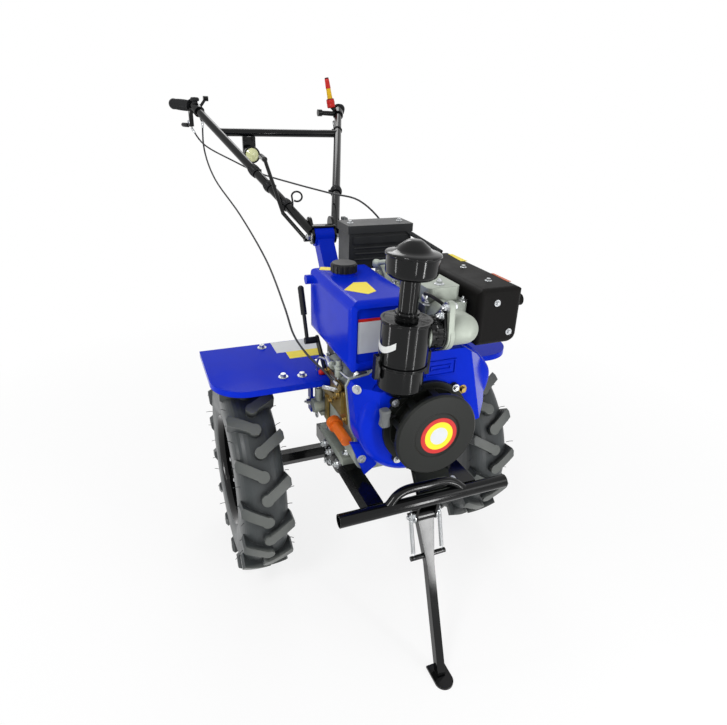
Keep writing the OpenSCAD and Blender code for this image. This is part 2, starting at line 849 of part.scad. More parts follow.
module fan_shroud() placed() color(blue) difference() {
    union() {
        translate([shroud_x, drum_y, crank_z]) rotate([0, 90, 0]) rotate_extrude() {
            square([drum_r - drum_round, shroud_l]);
            square([drum_r, shroud_l - drum_round]);
            translate([drum_r - drum_round, shroud_l - drum_round]) circle(drum_round);
        }
        difference() {
            yz_slab(shroud_x, shroud_l) shroud_outline(1);
            fold_cut(wing_y, wing_angle, wing_lean);
            fold_cut(cheek_cut_y, -cheek_angle, 0);
        }
        yz_slab(shroud_x, ear_t) translate([0, crank_z])
            polygon([for (p = ear_shares) [p.x * shroud_half, p.y * (shroud_top - crank_z)]]);
        yz_slab(shroud_x + shroud_l, rib_t) translate([rib_y, rib_z]) {
            shroud_rib(0);
            shroud_rib(2 * rib_line);
        }
    }
    at_cleaner(bowl_z - shroud_clear) cylinder(h = shroud_top, r = cleaner_r + shroud_clear);
}

module recoil_cover() placed() color(black) translate([shroud_x + shroud_l, 0, crank_z]) rotate([0, 90, 0]) difference() {
    cage_l = recoil_l - recoil_disc_t;
    union() {
        rotate_extrude() polygon([
            [0, 0], [recoil_base_r, 0], [recoil_base_r, recoil_base_t], [cage_r, recoil_base_t], [cage_r, cage_l],
            [recoil_r, cage_l], [recoil_r, recoil_l - recoil_edge], [recoil_r - recoil_edge, recoil_l],
            [disc_ring_r + disc_ring_w, recoil_l], [disc_ring_r, recoil_l - disc_ring_w], [0, recoil_l - disc_ring_w]]);
        for (i = [0 : cage_ears - 1]) rotate(cage_ear_angle + i * 360 / cage_ears) translate([recoil_base_r, 0, 0])
            cylinder(h = recoil_base_t - bead, r = cage_ear_r);
    }
    for (i = [0 : cage_windows - 1]) rotate((i + 1 / 2) * 360 / cage_windows)
        translate([cage_r - cage_depth, -cage_window / 2, recoil_base_t + cage_bar])
            cube([2 * cage_depth, cage_window, cage_l - recoil_base_t - 2 * cage_bar]);
}

module recoil_handle() placed() color(black)
    translate([shroud_x + shroud_l + recoil_base_t, -recoil_r - pull_t - seat_gap, crank_z + pull_t]) cube([pull_t, pull_t, pull_h]);

module fuel_tank() placed() color(blue) {
    difference() {
        translate([tank_x, tank_y, tank_z]) soft_box([tank_l, tank_w, tank_h], tank_round);
        yz_slab(tank_x + tank_l - panel_t, 2 * panel_t) translate([tank_y + panel_inset, tank_z + 2 * panel_inset])
            round_rect([tank_w - 2 * panel_inset, tank_h - 3 * panel_inset], panel_inset / 2);
    }
    translate([cap_x, cap_y, tank_z + tank_h - neck_rise]) cylinder(h = 2 * neck_rise, r = cap_r - neck_out);
    translate([boss_x + tank_round, tank_y + tank_round / 2, boss_z]) rotate([90, 0, 0])
        cylinder(h = tank_boss_l + tank_round / 2, r = tank_boss_r);
}

module tank_cap() placed() color(black) translate([cap_x, cap_y, tank_z + tank_h + neck_rise]) difference() {
    rotate_extrude() polygon([
        [0, 0], [cap_r, 0], [cap_r, cap_h - neck_out], [cap_r - neck_out, cap_h], [0, cap_h]]);
    for (i = [0 : cap_flutes - 1]) rotate(i * 360 / cap_flutes) translate([cap_r + cap_flute_r / 2, 0, -over])
        cylinder(h = cap_h + 2 * over, r = cap_flute_r);
}

module at_cleaner(z) translate([cleaner_x, cleaner_y, elbow_z]) rotate([-cleaner_lean, 0, 0])
    translate([0, 0, z - elbow_z]) children();

module cleaner_bowl() placed() color(black) at_cleaner(bowl_z) rotate_extrude() polygon([
    [0, 0], [bowl_r - bowl_edge, 0], [bowl_r, bowl_edge], [bowl_r, bowl_h - body_edge],
    [bowl_r + rim_out, bowl_h - body_edge], [bowl_r + rim_out, bowl_h], [0, bowl_h]]);

module cleaner_body() placed() color(black) at_cleaner(bowl_z + bowl_h) {
    rotate_extrude() polygon([
        [0, 0], [cleaner_r, 0], [cleaner_r, body_h - rim_h], [cleaner_r + rim_out, body_h - rim_h],
        [cleaner_r + rim_out, body_h], [neck_r + neck_ring_out, body_h],
        [neck_r + neck_ring_out, body_h + neck_ring_h], [neck_r, body_h + neck_ring_h], [neck_r, body_h + 2 * neck_ring_h],
        [neck_r + neck_ring_out, body_h + 2 * neck_ring_h], [neck_r + neck_ring_out, body_h + 3 * neck_ring_h],
        [neck_r, body_h + 3 * neck_ring_h], [neck_r, body_h + neck_h], [0, body_h + neck_h]]);
    for (s = [-1, 1]) translate([-clip_b / 2, s * (cleaner_r + clip_t / 2) - clip_t, -clip_drop])
        difference() {
            cube([clip_b, 2 * clip_t, clip_h]);
            translate([clip_b / 2, clip_t - s * (cleaner_r + clip_t / 2), -over])
                cylinder(h = clip_drop + over, r = cleaner_r + seat_gap);
        }
}

module cleaner_cap() placed() color(black) at_cleaner(bowl_z + bowl_h + body_h + neck_h) rotate_extrude() polygon([
    [0, 0], [cleaner_cap_r - cap_skirt_in - 2 * cap_edge, 0], [cleaner_cap_r - cap_skirt_in, cap_edge],
    [cleaner_cap_r - cap_skirt_in, cap_brim_z], [cleaner_cap_r, cap_brim_z], [cleaner_cap_r, cap_brim_z + cap_brim_t],
    [cleaner_cap_r - cap_skirt_in, cap_brim_z + 2 * cap_brim_t], [cleaner_cap_r - cap_skirt_in - cap_edge, cleaner_cap_h],
    [cleaner_cap_r / 2, cleaner_cap_h + 2 * cleaner_peak / 3], [0, cleaner_cap_h + cleaner_peak]]);

module intake_elbow() placed() color(cast_grey) difference() {
    union() {
        rod([cleaner_x, cleaner_y, elbow_z], [cleaner_x, elbow_y, elbow_z], elbow_r);
        rod([cleaner_x, elbow_flange_y, elbow_z], [cleaner_x, elbow_flange_y + elbow_flange_t, elbow_z], elbow_flange_r);
        translate([cleaner_x, elbow_y, elbow_z]) sphere(elbow_r + bead);
        rod([cyl_x + cyl_l, elbow_y, elbow_z], [cleaner_x, elbow_y, elbow_z], elbow_r);
    }
    at_cleaner(bowl_z) cylinder(h = 4 * bowl_h, r = cleaner_r + seat_gap);
}

module muffler_section() difference() {
    translate([muffler_y, muffler_z]) round_rect([muffler_w, muffler_h], muffler_round);
    translate([muffler_y + muffler_w, muffler_z]) rotate(45) square([4 * muffler_cut, muffler_cut * sqrt(2)], center = true);
}

module muffler() placed() color(black) {
    head_y = cyl_y + cyl_w / 2;
    intersection() {
        yz_slab(muffler_x, muffler_l) muffler_section();
        translate([muffler_x, muffler_y, muffler_z]) soft_box([muffler_l, muffler_w, muffler_h], muffler_round);
    }
    translate([exhaust_x, head_y, elbow_z]) rotate([-90, 0, 0]) cylinder(h = muffler_gap + muffler_round, r = exhaust_r);
    translate([muffler_x + muffler_l - 3 * tail_r, muffler_y + muffler_w - tail_r, muffler_z + 2 * muffler_h / 3])
        rotate([-90, 0, 0]) cylinder(h = tail_l + tail_r, r = tail_r);
}

module governor_plate() placed() color(zinc) {
    face = -case_w / 2;
    difference() {
        translate([gov_x, face - gov_t, gov_z]) cube([gov_l, gov_t, gov_h]);
        xz_slab(face - 2 * gov_t, 4 * gov_t) link([gov_x + 3 * arm_w, gov_z + gov_h - 3 * arm_w],
            [gov_x + 9 * arm_w, gov_z + gov_h - 2 * arm_w], arm_w);
    }
    translate([bridge_x, face - gov_t - bridge_off, bridge_z]) {
        cube([bridge_l, gov_t, bridge_h]);
        for (x = [0, bridge_l - gov_t]) translate([x, 0, 0]) cube([gov_t, bridge_off + gov_t / 2, bridge_h]);
    }
    translate([bar_x, face - 2 * gov_t, bar_z]) cube([bar_w, gov_t + gov_t / 2, bar_h]);
    xz_slab(face - gov_t - arm_out, arm_t) {
        link([bridge_x + bridge_l / 2, bridge_z + bridge_h / 2], [bar_x + 3 * arm_w, bar_z + bar_h - 2 * arm_w], arm_w);
        link([bridge_x + bridge_l / 2, bridge_z + bridge_h / 2], [bridge_x + bridge_l, bridge_z + bridge_h + 2 * arm_w], arm_w);
    }
    translate([bridge_x + bridge_l / 2, face - gov_t, bridge_z + bridge_h / 2]) rotate([90, 0, 0])
        cylinder(h = arm_out + arm_t, r = arm_w / 2);
}

module fuel_pump() placed() color(cast_grey) translate([pump_x, -case_w / 2, pump_z]) {
    rotate([90, 0, 0]) cylinder(h = pump_l, r = pump_r);
    translate([0, -pump_l / 2, 0]) cylinder(h = pump_head_l, r = pump_head_r);
    translate([-pump_r, -pump_l / 2, -pump_r - pump_head_r / 2]) cube([2 * pump_r, pump_l / 2, pump_head_r]);
}

module dipstick() placed() color("orangered") translate([fill_x, -case_w / 2 - fill_head_r - seat_gap, fill_z]) rotate([0, 90, 0]) {
    cylinder(h = fill_l, r = fill_r);
    translate([0, 0, -fill_head_l]) cylinder(h = fill_head_l, r = fill_head_r);
}

// Speed lever on its plate behind the engine's side
module speed_lever() placed() color(black) {
    face = -case_w / 2 - seat_gap;
    hub = [lever_hub_x, face - lever_hub_l, lever_hub_z];
    tip = [speed_x, face - lever_hub_l, speed_z];
    xz_slab(face - lever_plate_t, lever_plate_t)
        link([lever_low_x, lever_low_z], [lever_hub_x, lever_hub_z], lever_plate_r);
    translate([hub.x, face - lever_plate_t / 2, hub.z]) rotate([90, 0, 0])
        cylinder(h = lever_hub_l + lever_hub_r / 2, r = lever_hub_r);
    rod(hub, tip, speed_r);
    rod(hub + (tip - hub) * speed_share, tip, speed_knob_r);
    translate(tip) sphere(speed_knob_r + bead);
}

// Fenders

module fender_outline(inset) {
    out_y = fender_span / 2 - inset;
    low_x = fender_x + inset;
    high_x = fender_x + fender_l - inset;
    nose_r = fender_corner - inset;
    in_y = fender_in_y - over * sign(inset);
    translate([low_x, in_y]) square([high_x - nose_r - low_x, out_y - in_y]);
    translate([low_x, in_y]) square([high_x - low_x, out_y - nose_r - in_y]);
    translate([high_x - nose_r, out_y - nose_r]) circle(nose_r);
}

module fender() color(blue) {
    top = fender_z + fender_t;
    difference() {
        translate([0, 0, top - lip_h]) linear_extrude(lip_h) fender_outline(0);
        translate([0, 0, top - lip_h - over]) linear_extrude(lip_h - fender_t + over) fender_outline(fender_t);
    }
    translate([fender_x, tab_in_y, fender_z]) cube([tab_l, fender_in_y + fender_t - tab_in_y, fender_t]);
    translate([stay_front_x, case_w / 2 + 2 * pan_t, fender_z - stay_t]) cube([stay_w, stay_reach - case_w / 2 - 2 * pan_t, stay_t + bead]);
    translate([fender_bar_x, fender_bar_y, bar_low]) cube([fender_bar_w, fender_bar_t, fender_z + bead - bar_low]);
    translate([fender_bar_x + fender_bar_w / 2, gear_half_w, spacer_z]) rotate([-90, 0, 0])
        cylinder(h = fender_bar_y + fender_bar_t / 2 - gear_half_w, r = spacer_r);
}

module fender_left() placed() on_side("left") fender();
module fender_right() placed() on_side("right") fender();

// Rear box and handlebar column

module rear_box() placed() color(black) difference() {
    union() {
        translate([box_x, box_y, box_z]) cube([box_l, box_w, box_h - lid_h + bead]);
        translate([box_x - lid_out, box_y - lid_out, box_z + box_h - lid_h])
            soft_lid([box_l + 2 * lid_out, box_w + 2 * lid_out, lid_h], lid_out);
        translate([box_x + box_l - band_t, box_y + band_end, box_z + band_z]) cube([2 * band_t, box_w - 2 * band_end, band_h]);
        translate([-gear_top_r, box_y, crank_z]) cube([post_l, post_w, box_z + bead - crank_z]);
        rod(strap_from, [strap_x, strap_y, muffler_z + muffler_h + strap_r + seat_gap], strap_r);
    }
    translate([0, -gear_half_w, crank_z]) rotate([-90, 0, 0])
        cylinder(h = 4 * gear_half_w, r = gear_top_r + gear_rib_h + seat_gap);
}

// Box with its upright edges round
module soft_lid(size, r) linear_extrude(size.z) round_rect([size.x, size.y], r);

module handle_column() placed() color(blue) difference() {
    union() {
        translate([-gear_top_r - column_base_t, -column_w / 2, column_low])
            cube([column_base_t, column_w, column_high - column_low]);
        xz_slab(-column_w / 2, column_w) polygon([
            [-gear_top_r - column_base_t, column_low], [-gear_top_r - column_base_t, column_high],
            [pivot_x + head_r / 2, pivot_z + head_r / 2], [pivot_x - head_r / 2, pivot_z - head_r / 2]]);
        translate([pivot_x, -head_w / 2, pivot_z]) rotate([-90, 0, 0]) cylinder(h = head_w, r = head_r);
    }
    translate([pivot_x, -head_w, pivot_z]) rotate([-90, 0, 0]) cylinder(h = 2 * head_w, r = pivot_r + run_gap);
}

// Handlebar

module handle_yoke() placed() color(black) {
    for (s = [-1, 1]) xz_slab(s * (cheek_out - cheek_t / 2) - cheek_t / 2, cheek_t)
        link([pivot_x, pivot_z], [arm_base.x, arm_base.z], cheek_r);
    translate([pivot_x, -cheek_out + cheek_t / 2, pivot_z]) rotate([-90, 0, 0])
        cylinder(h = 2 * cheek_out - cheek_t, r = pivot_r);
}

// Tube from the yoke's cheek, cut flat where it is welded on
module arm() color(black) {
    difference() {
        rod(arm_start, arm_tip, arm_r);
        translate([arm_start.x - 4 * arm_r, 0, arm_start.z - 4 * arm_r])
            cube([8 * arm_r, cheek_out + seat_gap, 8 * arm_r]);
    }
    translate(arm_tip) sphere(arm_r + bead);
    rod(arm_tip, arm_tip + grip_dir * grip_depth, arm_r);
}

module arm_left() placed() on_side("left") arm();
module arm_right() placed() on_side("right") arm();

module crossbar() placed() color(black) difference() {
    rod([cross_at.x, -cross_at.y, cross_at.z], cross_at, cross_r);
    for (s = [-1, 1]) mirror([0, s < 0 ? 1 : 0, 0]) rod(arm_base, arm_tip, arm_r + seat_gap);
}

module grip() color(rubber) difference() {
    rod(arm_tip + grip_dir * arm_r, grip_end, grip_r);
    rod(arm_tip, arm_tip + grip_dir * (grip_depth + seat_gap), arm_r + seat_gap);
}

module grip_left() placed() on_side("left") grip();
module grip_right() placed() on_side("right") grip();

// Ring clamped round an arm near its tip
module arm_clamp() rod(clamp_at - arm_dir * clamp_l / 2, clamp_at + arm_dir * clamp_l / 2, arm_r + clamp_wall);
module arm_hole() {
    rod(arm_base, arm_tip, arm_r + seat_gap);
    translate(arm_tip) sphere(arm_r + bead + seat_gap);
    rod(arm_tip, arm_tip + grip_dir * grip_depth, arm_r + seat_gap);
}

module lever_left() placed() color("firebrick") difference() {
    middle = lever_foot + (lever_top - lever_foot) * lever_base_share;
    union() {
        arm_clamp();
        rod(clamp_at, lever_foot, lever_stem_r);
        rod(lever_foot, middle, lever_base_r);
        rod(lever_foot, lever_top, lever_tip_r);
        rod(clamp_at, switch_tip, switch_r);
        translate(switch_tip) rotate([90, 0, 0]) cylinder(h = switch_knob_l, r = switch_knob_r);
    }
    arm_hole();
}

module lever_right() placed() color(black) on_side("right") difference() {
    union() {
        arm_clamp();
        rod(clamp_at, thumb_tip, thumb_r);
        translate(thumb_tip) rotate([90, 0, 0]) cylinder(h = paddle_l, r = paddle_r, center = true);
        rod(clamp_at, hanger_at, hanger_w);
        translate([hanger_at.x - hanger_l / 2, hanger_at.y - hanger_w / 2, hanger_z])
            cube([hanger_l, hanger_w, hanger_at.z + hanger_w - bead - hanger_z]);
        rod([hanger_at.x, hanger_at.y, hanger_z + trigger_r], [hanger_at.x - trigger_l, hanger_at.y + trigger_l / 2, hanger_z + trigger_r],
            trigger_r);
        rod(clamp_at, nub_end, nub_r);
    }
    arm_hole();
}

module headlamp() placed() color(black) {
    translate([cross_x - lamp_arm / 2, lamp_y - lamp_arm_w / 2, lamp_z])
        cube([lamp_arm, lamp_arm_w, cross_at.z - cross_r - lamp_z - seat_gap]);
    translate([cross_x, lamp_y, lamp_z]) rotate([0, 90, 0]) rotate_extrude() polygon([
        [0, 0], [lamp_back_r, 0], [lamp_r, lamp_l - 2 * lamp_rim], [lamp_r, lamp_l - lamp_rim],
        [lamp_r + lamp_rim_out, lamp_l - lamp_rim], [lamp_r + lamp_rim_out, lamp_l], [lamp_r - lamp_rim_out, lamp_l],
        [lamp_r - lamp_rim_out, lamp_l - lamp_rim], [0, lamp_l - 2 * lamp_rim]]);
}

module shift_lever() placed() color(black) {
    translate([shift_foot.x, -cheek_out, shift_foot.z]) rotate([90, 0, 0]) cylinder(h = shift_boss_l, r = shift_boss_r);
    rod(shift_foot, shift_bend, shift_r);
    translate(shift_bend) sphere(shift_r + bead);
    rod(shift_bend, shift_top, shift_r);
    translate(shift_top) sphere(shift_boss_r);
    rod(shift_top, shift_tip, shift_boss_r);
}

module clamp_knob() placed() color(cast_grey) difference() {
    union() {
        translate([arm_base.x, knob_y, arm_base.z]) rotate([-90, 0, 0]) cylinder(h = knob_t, r = knob_r);
        translate([arm_base.x, arm_base.y, arm_base.z]) rotate([-90, 0, 0]) cylinder(h = knob_y - arm_base.y, r = stud_r);
    }
    rod(arm_base - arm_dir * knob_r, arm_tip, arm_r + seat_gap);
}

// Cables

module clutch_cable() placed() color(rubber) cable(clutch_route, cable_r);
module throttle_cable() placed() color(rubber) cable(throttle_route, cable_r);
module stop_cable() placed() color(rubber) cable(stop_route, cable_r);

rail_left();
rail_right();
front_plate();
bumper();
bumper_bow();
stand_bracket();
gearbox();
hitch();
crankcase();
cylinder_node();  // cylinder
rocker_cover();
fan_shroud();
recoil_cover();
recoil_handle();
fuel_tank();
tank_cap();
cleaner_bowl();
cleaner_body();
cleaner_cap();
intake_elbow();
muffler();
governor_plate();
fuel_pump();
dipstick();
speed_lever();
fender_left();
fender_right();
rear_box();
handle_column();
tyre_left();
tyre_right();
rim_left();
rim_right();
hub_left();
hub_right();
stand_leg();
spring_left();
spring_right();
handle_yoke();
arm_left();
arm_right();
crossbar();
grip_left();
grip_right();
lever_left();
lever_right();
headlamp();
shift_lever();
clamp_knob();
clutch_cable();
throttle_cable();
stop_cable();
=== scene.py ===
"""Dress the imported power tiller: finishes on its solids, small parts, studio and camera."""

import json
import logging
import math
from dataclasses import dataclass, field
from enum import Enum
from itertools import product
from typing import Iterator, Sequence

import bmesh
import bpy
import numpy as np
from mathutils import Matrix, Vector
from mathutils.geometry import convex_hull_2d


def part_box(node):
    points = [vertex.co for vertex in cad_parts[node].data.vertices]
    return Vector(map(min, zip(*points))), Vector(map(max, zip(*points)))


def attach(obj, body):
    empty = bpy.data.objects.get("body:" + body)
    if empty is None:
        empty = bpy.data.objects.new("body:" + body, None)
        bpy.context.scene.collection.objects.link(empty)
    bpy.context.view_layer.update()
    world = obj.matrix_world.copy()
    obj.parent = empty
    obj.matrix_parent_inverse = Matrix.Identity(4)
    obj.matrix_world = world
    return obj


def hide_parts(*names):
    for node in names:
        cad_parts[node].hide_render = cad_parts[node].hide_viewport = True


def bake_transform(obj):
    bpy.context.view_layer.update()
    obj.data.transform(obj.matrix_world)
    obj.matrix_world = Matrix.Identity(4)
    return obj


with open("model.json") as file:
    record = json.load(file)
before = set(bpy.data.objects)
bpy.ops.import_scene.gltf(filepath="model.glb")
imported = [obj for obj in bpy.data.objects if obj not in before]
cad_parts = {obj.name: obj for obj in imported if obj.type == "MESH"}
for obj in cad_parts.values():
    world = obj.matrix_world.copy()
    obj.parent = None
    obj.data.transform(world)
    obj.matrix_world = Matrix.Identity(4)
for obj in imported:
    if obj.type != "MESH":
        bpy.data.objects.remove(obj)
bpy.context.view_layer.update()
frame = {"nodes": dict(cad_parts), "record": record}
LOG = logging.getLogger("power_tiller")

Point = tuple[float, float, float]
Flat = tuple[float, float]
MM = 0.001
IMAGE_W = 727
SENSOR_W = 36.0
UP, FORWARD, BACK, LEFT, RIGHT = (0, 0, 1), (1, 0, 0), (-1, 0, 0), (0, 1, 0), (0, -1, 0)
SIDES = ((1, "left"), (-1, "right"))
# Sizes in millimetres that more than one sub-assembly takes
WHEEL_R = 290.0
CLEANER_FOOT = (440.0, -70.0, 836.0)
PIVOT = (-300.0, 0.0, 880.0)
TYRE_LOW, TYRE_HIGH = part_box("tyre_left")
AXLE_X = (TYRE_LOW.x + TYRE_HIGH.x) / 2


def at(x: float, y: float, z: float) -> Vector:
    """Place a point in metres from millimetres ahead of the axle, to the left and above the ground."""
    return Vector((AXLE_X + x * MM, y * MM, z * MM))


def box_mm(node: str) -> tuple[Point, ...]:
    """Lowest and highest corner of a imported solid, in millimetres from the axle."""
    return tuple(((corner.x - AXLE_X) / MM, corner.y / MM, corner.z / MM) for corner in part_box(node))


def linear(code: str, alpha: float = 1.0) -> tuple[float, float, float, float]:
    """Turn an sRGB hex colour into the linear colour that a shader takes.

    Args:
        code: Six hex digits with a leading hash.
        alpha: Opacity to carry along.

    Returns:
        Linear red, green, blue and alpha.
    """
    parts = [int(code[i:i + 2], 16) / 255 for i in (1, 3, 5)]
    red, green, blue = [p / 12.92 if p <= 0.04045 else ((p + 0.055) / 1.055) ** 2.4 for p in parts]
    return red, green, blue, alpha


def add(tree: bpy.types.NodeTree, kind: str, links: dict | None = None,
        **settings: object) -> bpy.types.Node:
    """Add one node with its settings and links.

    Args:
        tree: Node tree that gets the node.
        kind: Blender's name for the node.
        links: Input name or number to a socket to link or a value to set.
        settings: Properties of the node.

    Returns:
        The new node.
    """
    node = tree.nodes.new(kind)
    for key, value in settings.items():
        setattr(node, key, value)
    for key, value in (links or {}).items():
        if isinstance(value, bpy.types.NodeSocket):
            tree.links.new(value, node.inputs[key])
        else:
            node.inputs[key].default_value = value
    return node


def fresh_tree(owner: bpy.types.Material | bpy.types.World) -> bpy.types.NodeTree:
    """Empty node tree of a material or a world.

    Args:
        owner: Material or world that gets the nodes.

    Returns:
        Its node tree, with no nodes in it.
    """
    owner.use_nodes = True
    owner.node_tree.nodes.clear()
    return owner.node_tree


def per_metre(size_mm: float) -> float:
    """Pattern scale whose features are about this many millimetres apart."""
    return 1 / (size_mm * MM)


@dataclass(frozen=True)
class Finish:
    """One surface as it was made: two tones, a gloss range, a grain and how soft its edges are.

    Attributes:
        name: Material and process in plain words.
        tone: Main sRGB colour.
        shade: Second sRGB colour that patches of the first fade to.
        patch_mm: Size of those patches.
        grain_mm: Size of the surface grain.
        grain: Strength of the grain's bump, as a share.
        depth_mm: Height of the grain.
        gloss: Lowest and highest roughness.
        metallic: Share of bare metal.
        coat: Weight of a clear top layer.
        coat_rough: Roughness of that layer.
        edge_mm: Radius that the shader rounds sharp edges to.
        corner_shade: SRGB colour of painted shade in corners and hollows, if any.
        corner_shade_share: How strongly that painted shade comes in.
        specular: Strength of the plain reflection.
        crown: SRGB colour of painted light on the tread's lug tops, if any.
        crown_mm: Radii from the axle between which that colour comes in.
    """

    name: str
    tone: str
    shade: str
    patch_mm: float = 60.0
    grain_mm: float = 3.0
    grain: float = 0.1
    depth_mm: float = 0.3
    gloss: Flat = (0.3, 0.4)
    metallic: float = 0.0
    coat: float = 0.0
    coat_rough: float = 0.08
    edge_mm: float = 1.2
    corner_shade: str = ""
    corner_shade_share: float = 0.0
    specular: float = 0.3
    crown: str = ""
    crown_mm: Flat = (278.0, 289.0)

    def material(self) -> bpy.types.Material:
        """Build the node material once and hand it out again after that."""
        return bpy.data.materials.get(self.name) or self.build()

    def build(self) -> bpy.types.Material:
        """Build the node material.

        Returns:
            Material with colour, roughness and normal from patterns in object space.
        """
        material = bpy.data.materials.new(self.name)
        tree = fresh_tree(material)
        place = add(tree, "ShaderNodeTexCoord").outputs["Object"]
        patches = add(tree, "ShaderNodeTexNoise", {
            "Vector": place, "Scale": per_metre(self.patch_mm), "Detail": 4.0, "Roughness": 0.6})
        layers = [(patches.outputs["Fac"], self.shade)]
        # Painted shade: ambient occlusion blends the corner colour into hollows and corners
        if self.corner_shade:
            corner = add(tree, "ShaderNodeAmbientOcclusion", {"Distance": 30 * MM}, samples=4)
            corner_darkening = add(tree, "ShaderNodeMapRange", {
                "Value": corner.outputs["AO"], "From Min": 1.0, "From Max": 0.3, "To Max": self.corner_shade_share})
            layers.append((corner_darkening.outputs["Result"], self.corner_shade))
        # Painted light: the crown colour lightens the tread's outer radius, where the lug tops catch the
        # light
        if self.crown:
            spoke = add(tree, "ShaderNodeVectorMath", {0: place, 1: at(0, 0, WHEEL_R)}, operation="SUBTRACT")
            flat = add(tree, "ShaderNodeVectorMath", {
                0: spoke.outputs[0], 1: (1, 0, 1)}, operation="MULTIPLY")
            reach = add(tree, "ShaderNodeVectorMath", {0: flat.outputs[0]}, operation="LENGTH")
            lit_crown = add(tree, "ShaderNodeMapRange", {
                "Value": reach.outputs["Value"],
                "From Min": self.crown_mm[0] * MM, "From Max": self.crown_mm[1] * MM})
            layers.append((lit_crown.outputs["Result"], self.crown))
        colour = linear(self.tone)
        for share, second in layers:
            colour = add(tree, "ShaderNodeMix", {
                "Factor": share, "A": colour, "B": linear(second)}, data_type="RGBA").outputs["Result"]
        grain = add(tree, "ShaderNodeTexNoise", {
            "Vector": place, "Scale": per_metre(self.grain_mm), "Detail": 3.0})
        rough = add(tree, "ShaderNodeMapRange", {
            "Value": patches.outputs["Fac"], "From Min": 0.3, "From Max": 0.7,
            "To Min": self.gloss[0], "To Max": self.gloss[1]})
        edge = add(tree, "ShaderNodeBevel", {"Radius": self.edge_mm * MM}, samples=4)
        bump = add(tree, "ShaderNodeBump", {
            "Height": grain.outputs["Fac"], "Normal": edge.outputs["Normal"],
            "Strength": self.grain, "Distance": self.depth_mm * MM})
        shader = add(tree, "ShaderNodeBsdfPrincipled", {
            "Base Color": colour, "Roughness": rough.outputs["Result"], "Normal": bump.outputs["Normal"],
            "Metallic": self.metallic, "Specular IOR Level": self.specular,
            "Coat Weight": self.coat, "Coat Roughness": self.coat_rough})
        add(tree, "ShaderNodeOutputMaterial", {"Surface": shader.outputs["BSDF"]})
        return material


def moulding(colour: str, tone: str, shade: str, grain: float = 0.1, gloss: Flat = (0.34, 0.42)) -> Finish:
    """Injection-moulded plastic in a plain colour: even and satin."""
    return Finish(f"moulded_{colour}_plastic", tone, shade, 40, 0.9, grain, 0.1, gloss)


def film(colour: str, tone: str, shade: str) -> Finish:
    """Vinyl film in a plain colour: flat and even, a little shine."""
    return Finish(f"{colour}_vinyl_film", tone, shade, 30, 0.8, 0.05, 0.05, (0.35, 0.45), edge_mm=0.2)


# Sprayed gloss enamel: deep royal blue, wet highlights, a faint orange peel
BLUE_ENAMEL = Finish("blue_sprayed_enamel", "#0A30D2", "#0926BC", 90, 5, 0.05, 0.2, (0.13, 0.22),
                     edge_mm=1.8, specular=0.045)
# Stoved black enamel on steel: near black with sharp pale highlights
BLACK_ENAMEL = Finish("black_stoved_enamel", "#060708", "#0C0D0E", 80, 4, 0.03, 0.12, (0.08, 0.15),
                      edge_mm=1.4, specular=0.24)
# Sand-cast aluminium with its skin left on: dull grey-green, granular, with painted shade that darkens the
# corners
CAST_ALUMINIUM = Finish("sand_cast_aluminium", "#B9C0B5", "#A2A99F", 40, 1.6, 0.35, 0.5, (0.45, 0.62), 0.35,
                        edge_mm=2.5, corner_shade="#2E2F2C", corner_shade_share=0.6)
# Cast iron under black paint: granular, half dull
CAST_IRON = Finish("painted_cast_iron", "#0C0D0F", "#17181A", 50, 2.2, 0.35, 0.6, (0.36, 0.5),
                   edge_mm=3.0, specular=0.24)
# Heat-proof black on sheet steel: dull black with a fine dry grain
HEAT_BLACK = Finish("heat_proof_black_paint", "#100F0F", "#1A1918", 70, 1.4, 0.16, 0.22, (0.44, 0.58),
                    edge_mm=2.0, specular=0.07)
# Satin black on a pressed steel cover: dark warm grey, soft sheen
SATIN_BLACK = Finish("satin_black_pressing", "#141614", "#1D1F1C", 60, 1.4, 0.1, 0.2, (0.36, 0.46),
                     edge_mm=1.4, specular=0.2)
# Moulded tyre rubber: charcoal with a sheen, grey-green painted light on the lug tops, painted shade in the
# corners
TYRE_RUBBER = Finish("moulded_tyre_rubber", "#373B3C", "#45494A", 45, 1.8, 0.22, 0.5, (0.3, 0.44),
                     edge_mm=3.0, corner_shade="#101112", corner_shade_share=0.7, specular=0.3, crown="#626562")
# Soft moulded grip rubber: black with a slight skin sheen
GRIP_RUBBER = Finish("moulded_grip_rubber", "#101113", "#191A1C", 30, 0.8, 0.25, 0.3, (0.42, 0.55),
                     specular=0.24)
# Bright zinc plate: pale steel, clean highlights
BRIGHT_ZINC = Finish("bright_zinc_plate", "#D2D4D5", "#B6B9BC", 12, 0.8, 0.1, 0.1, (0.24, 0.4), 1.0,
                     edge_mm=0.6)
# Yellow passivated zinc: brassy with greenish and rosy drifts, with painted shade that darkens the corners
YELLOW_ZINC = Finish("yellow_passivated_zinc", "#B99A52", "#8E7B4C", 14, 0.8, 0.12, 0.1, (0.3, 0.45), 0.85,
                     edge_mm=0.8, corner_shade="#3A3220", corner_shade_share=0.5)
# Injection-moulded black plastic: even, satin, spark-eroded grain
BLACK_MOULDING = Finish("moulded_black_plastic", "#0E0F11", "#161719", 60, 0.9, 0.2, 0.15, (0.34, 0.46),
                        specular=0.24)
# Blow-moulded box: dark grey, half dull, softly mottled
BOX_MOULDING = Finish("blow_moulded_grey_plastic", "#202123", "#2C2E2F", 60, 1.2, 0.2, 0.2, (0.32, 0.44),
                      edge_mm=2.0, specular=0.22)
# Extruded cable conduit: weathered dark grey, half dull
CABLE_JACKET = Finish("extruded_cable_jacket", "#2C2D2F", "#3A3B3D", 50, 0.8, 0.1, 0.1, (0.36, 0.5),
                      specular=0.26)
# Pressed lamp glass over a reflector: pale straw colour with a hard shine
LAMP_GLASS = Finish("pressed_lamp_glass", "#ECEEBC", "#DCDFA0", 10, 2.5, 0.05, 0.2, (0.1, 0.18),
                    coat=0.6, coat_rough=0.04, edge_mm=0.6, specular=0.5)
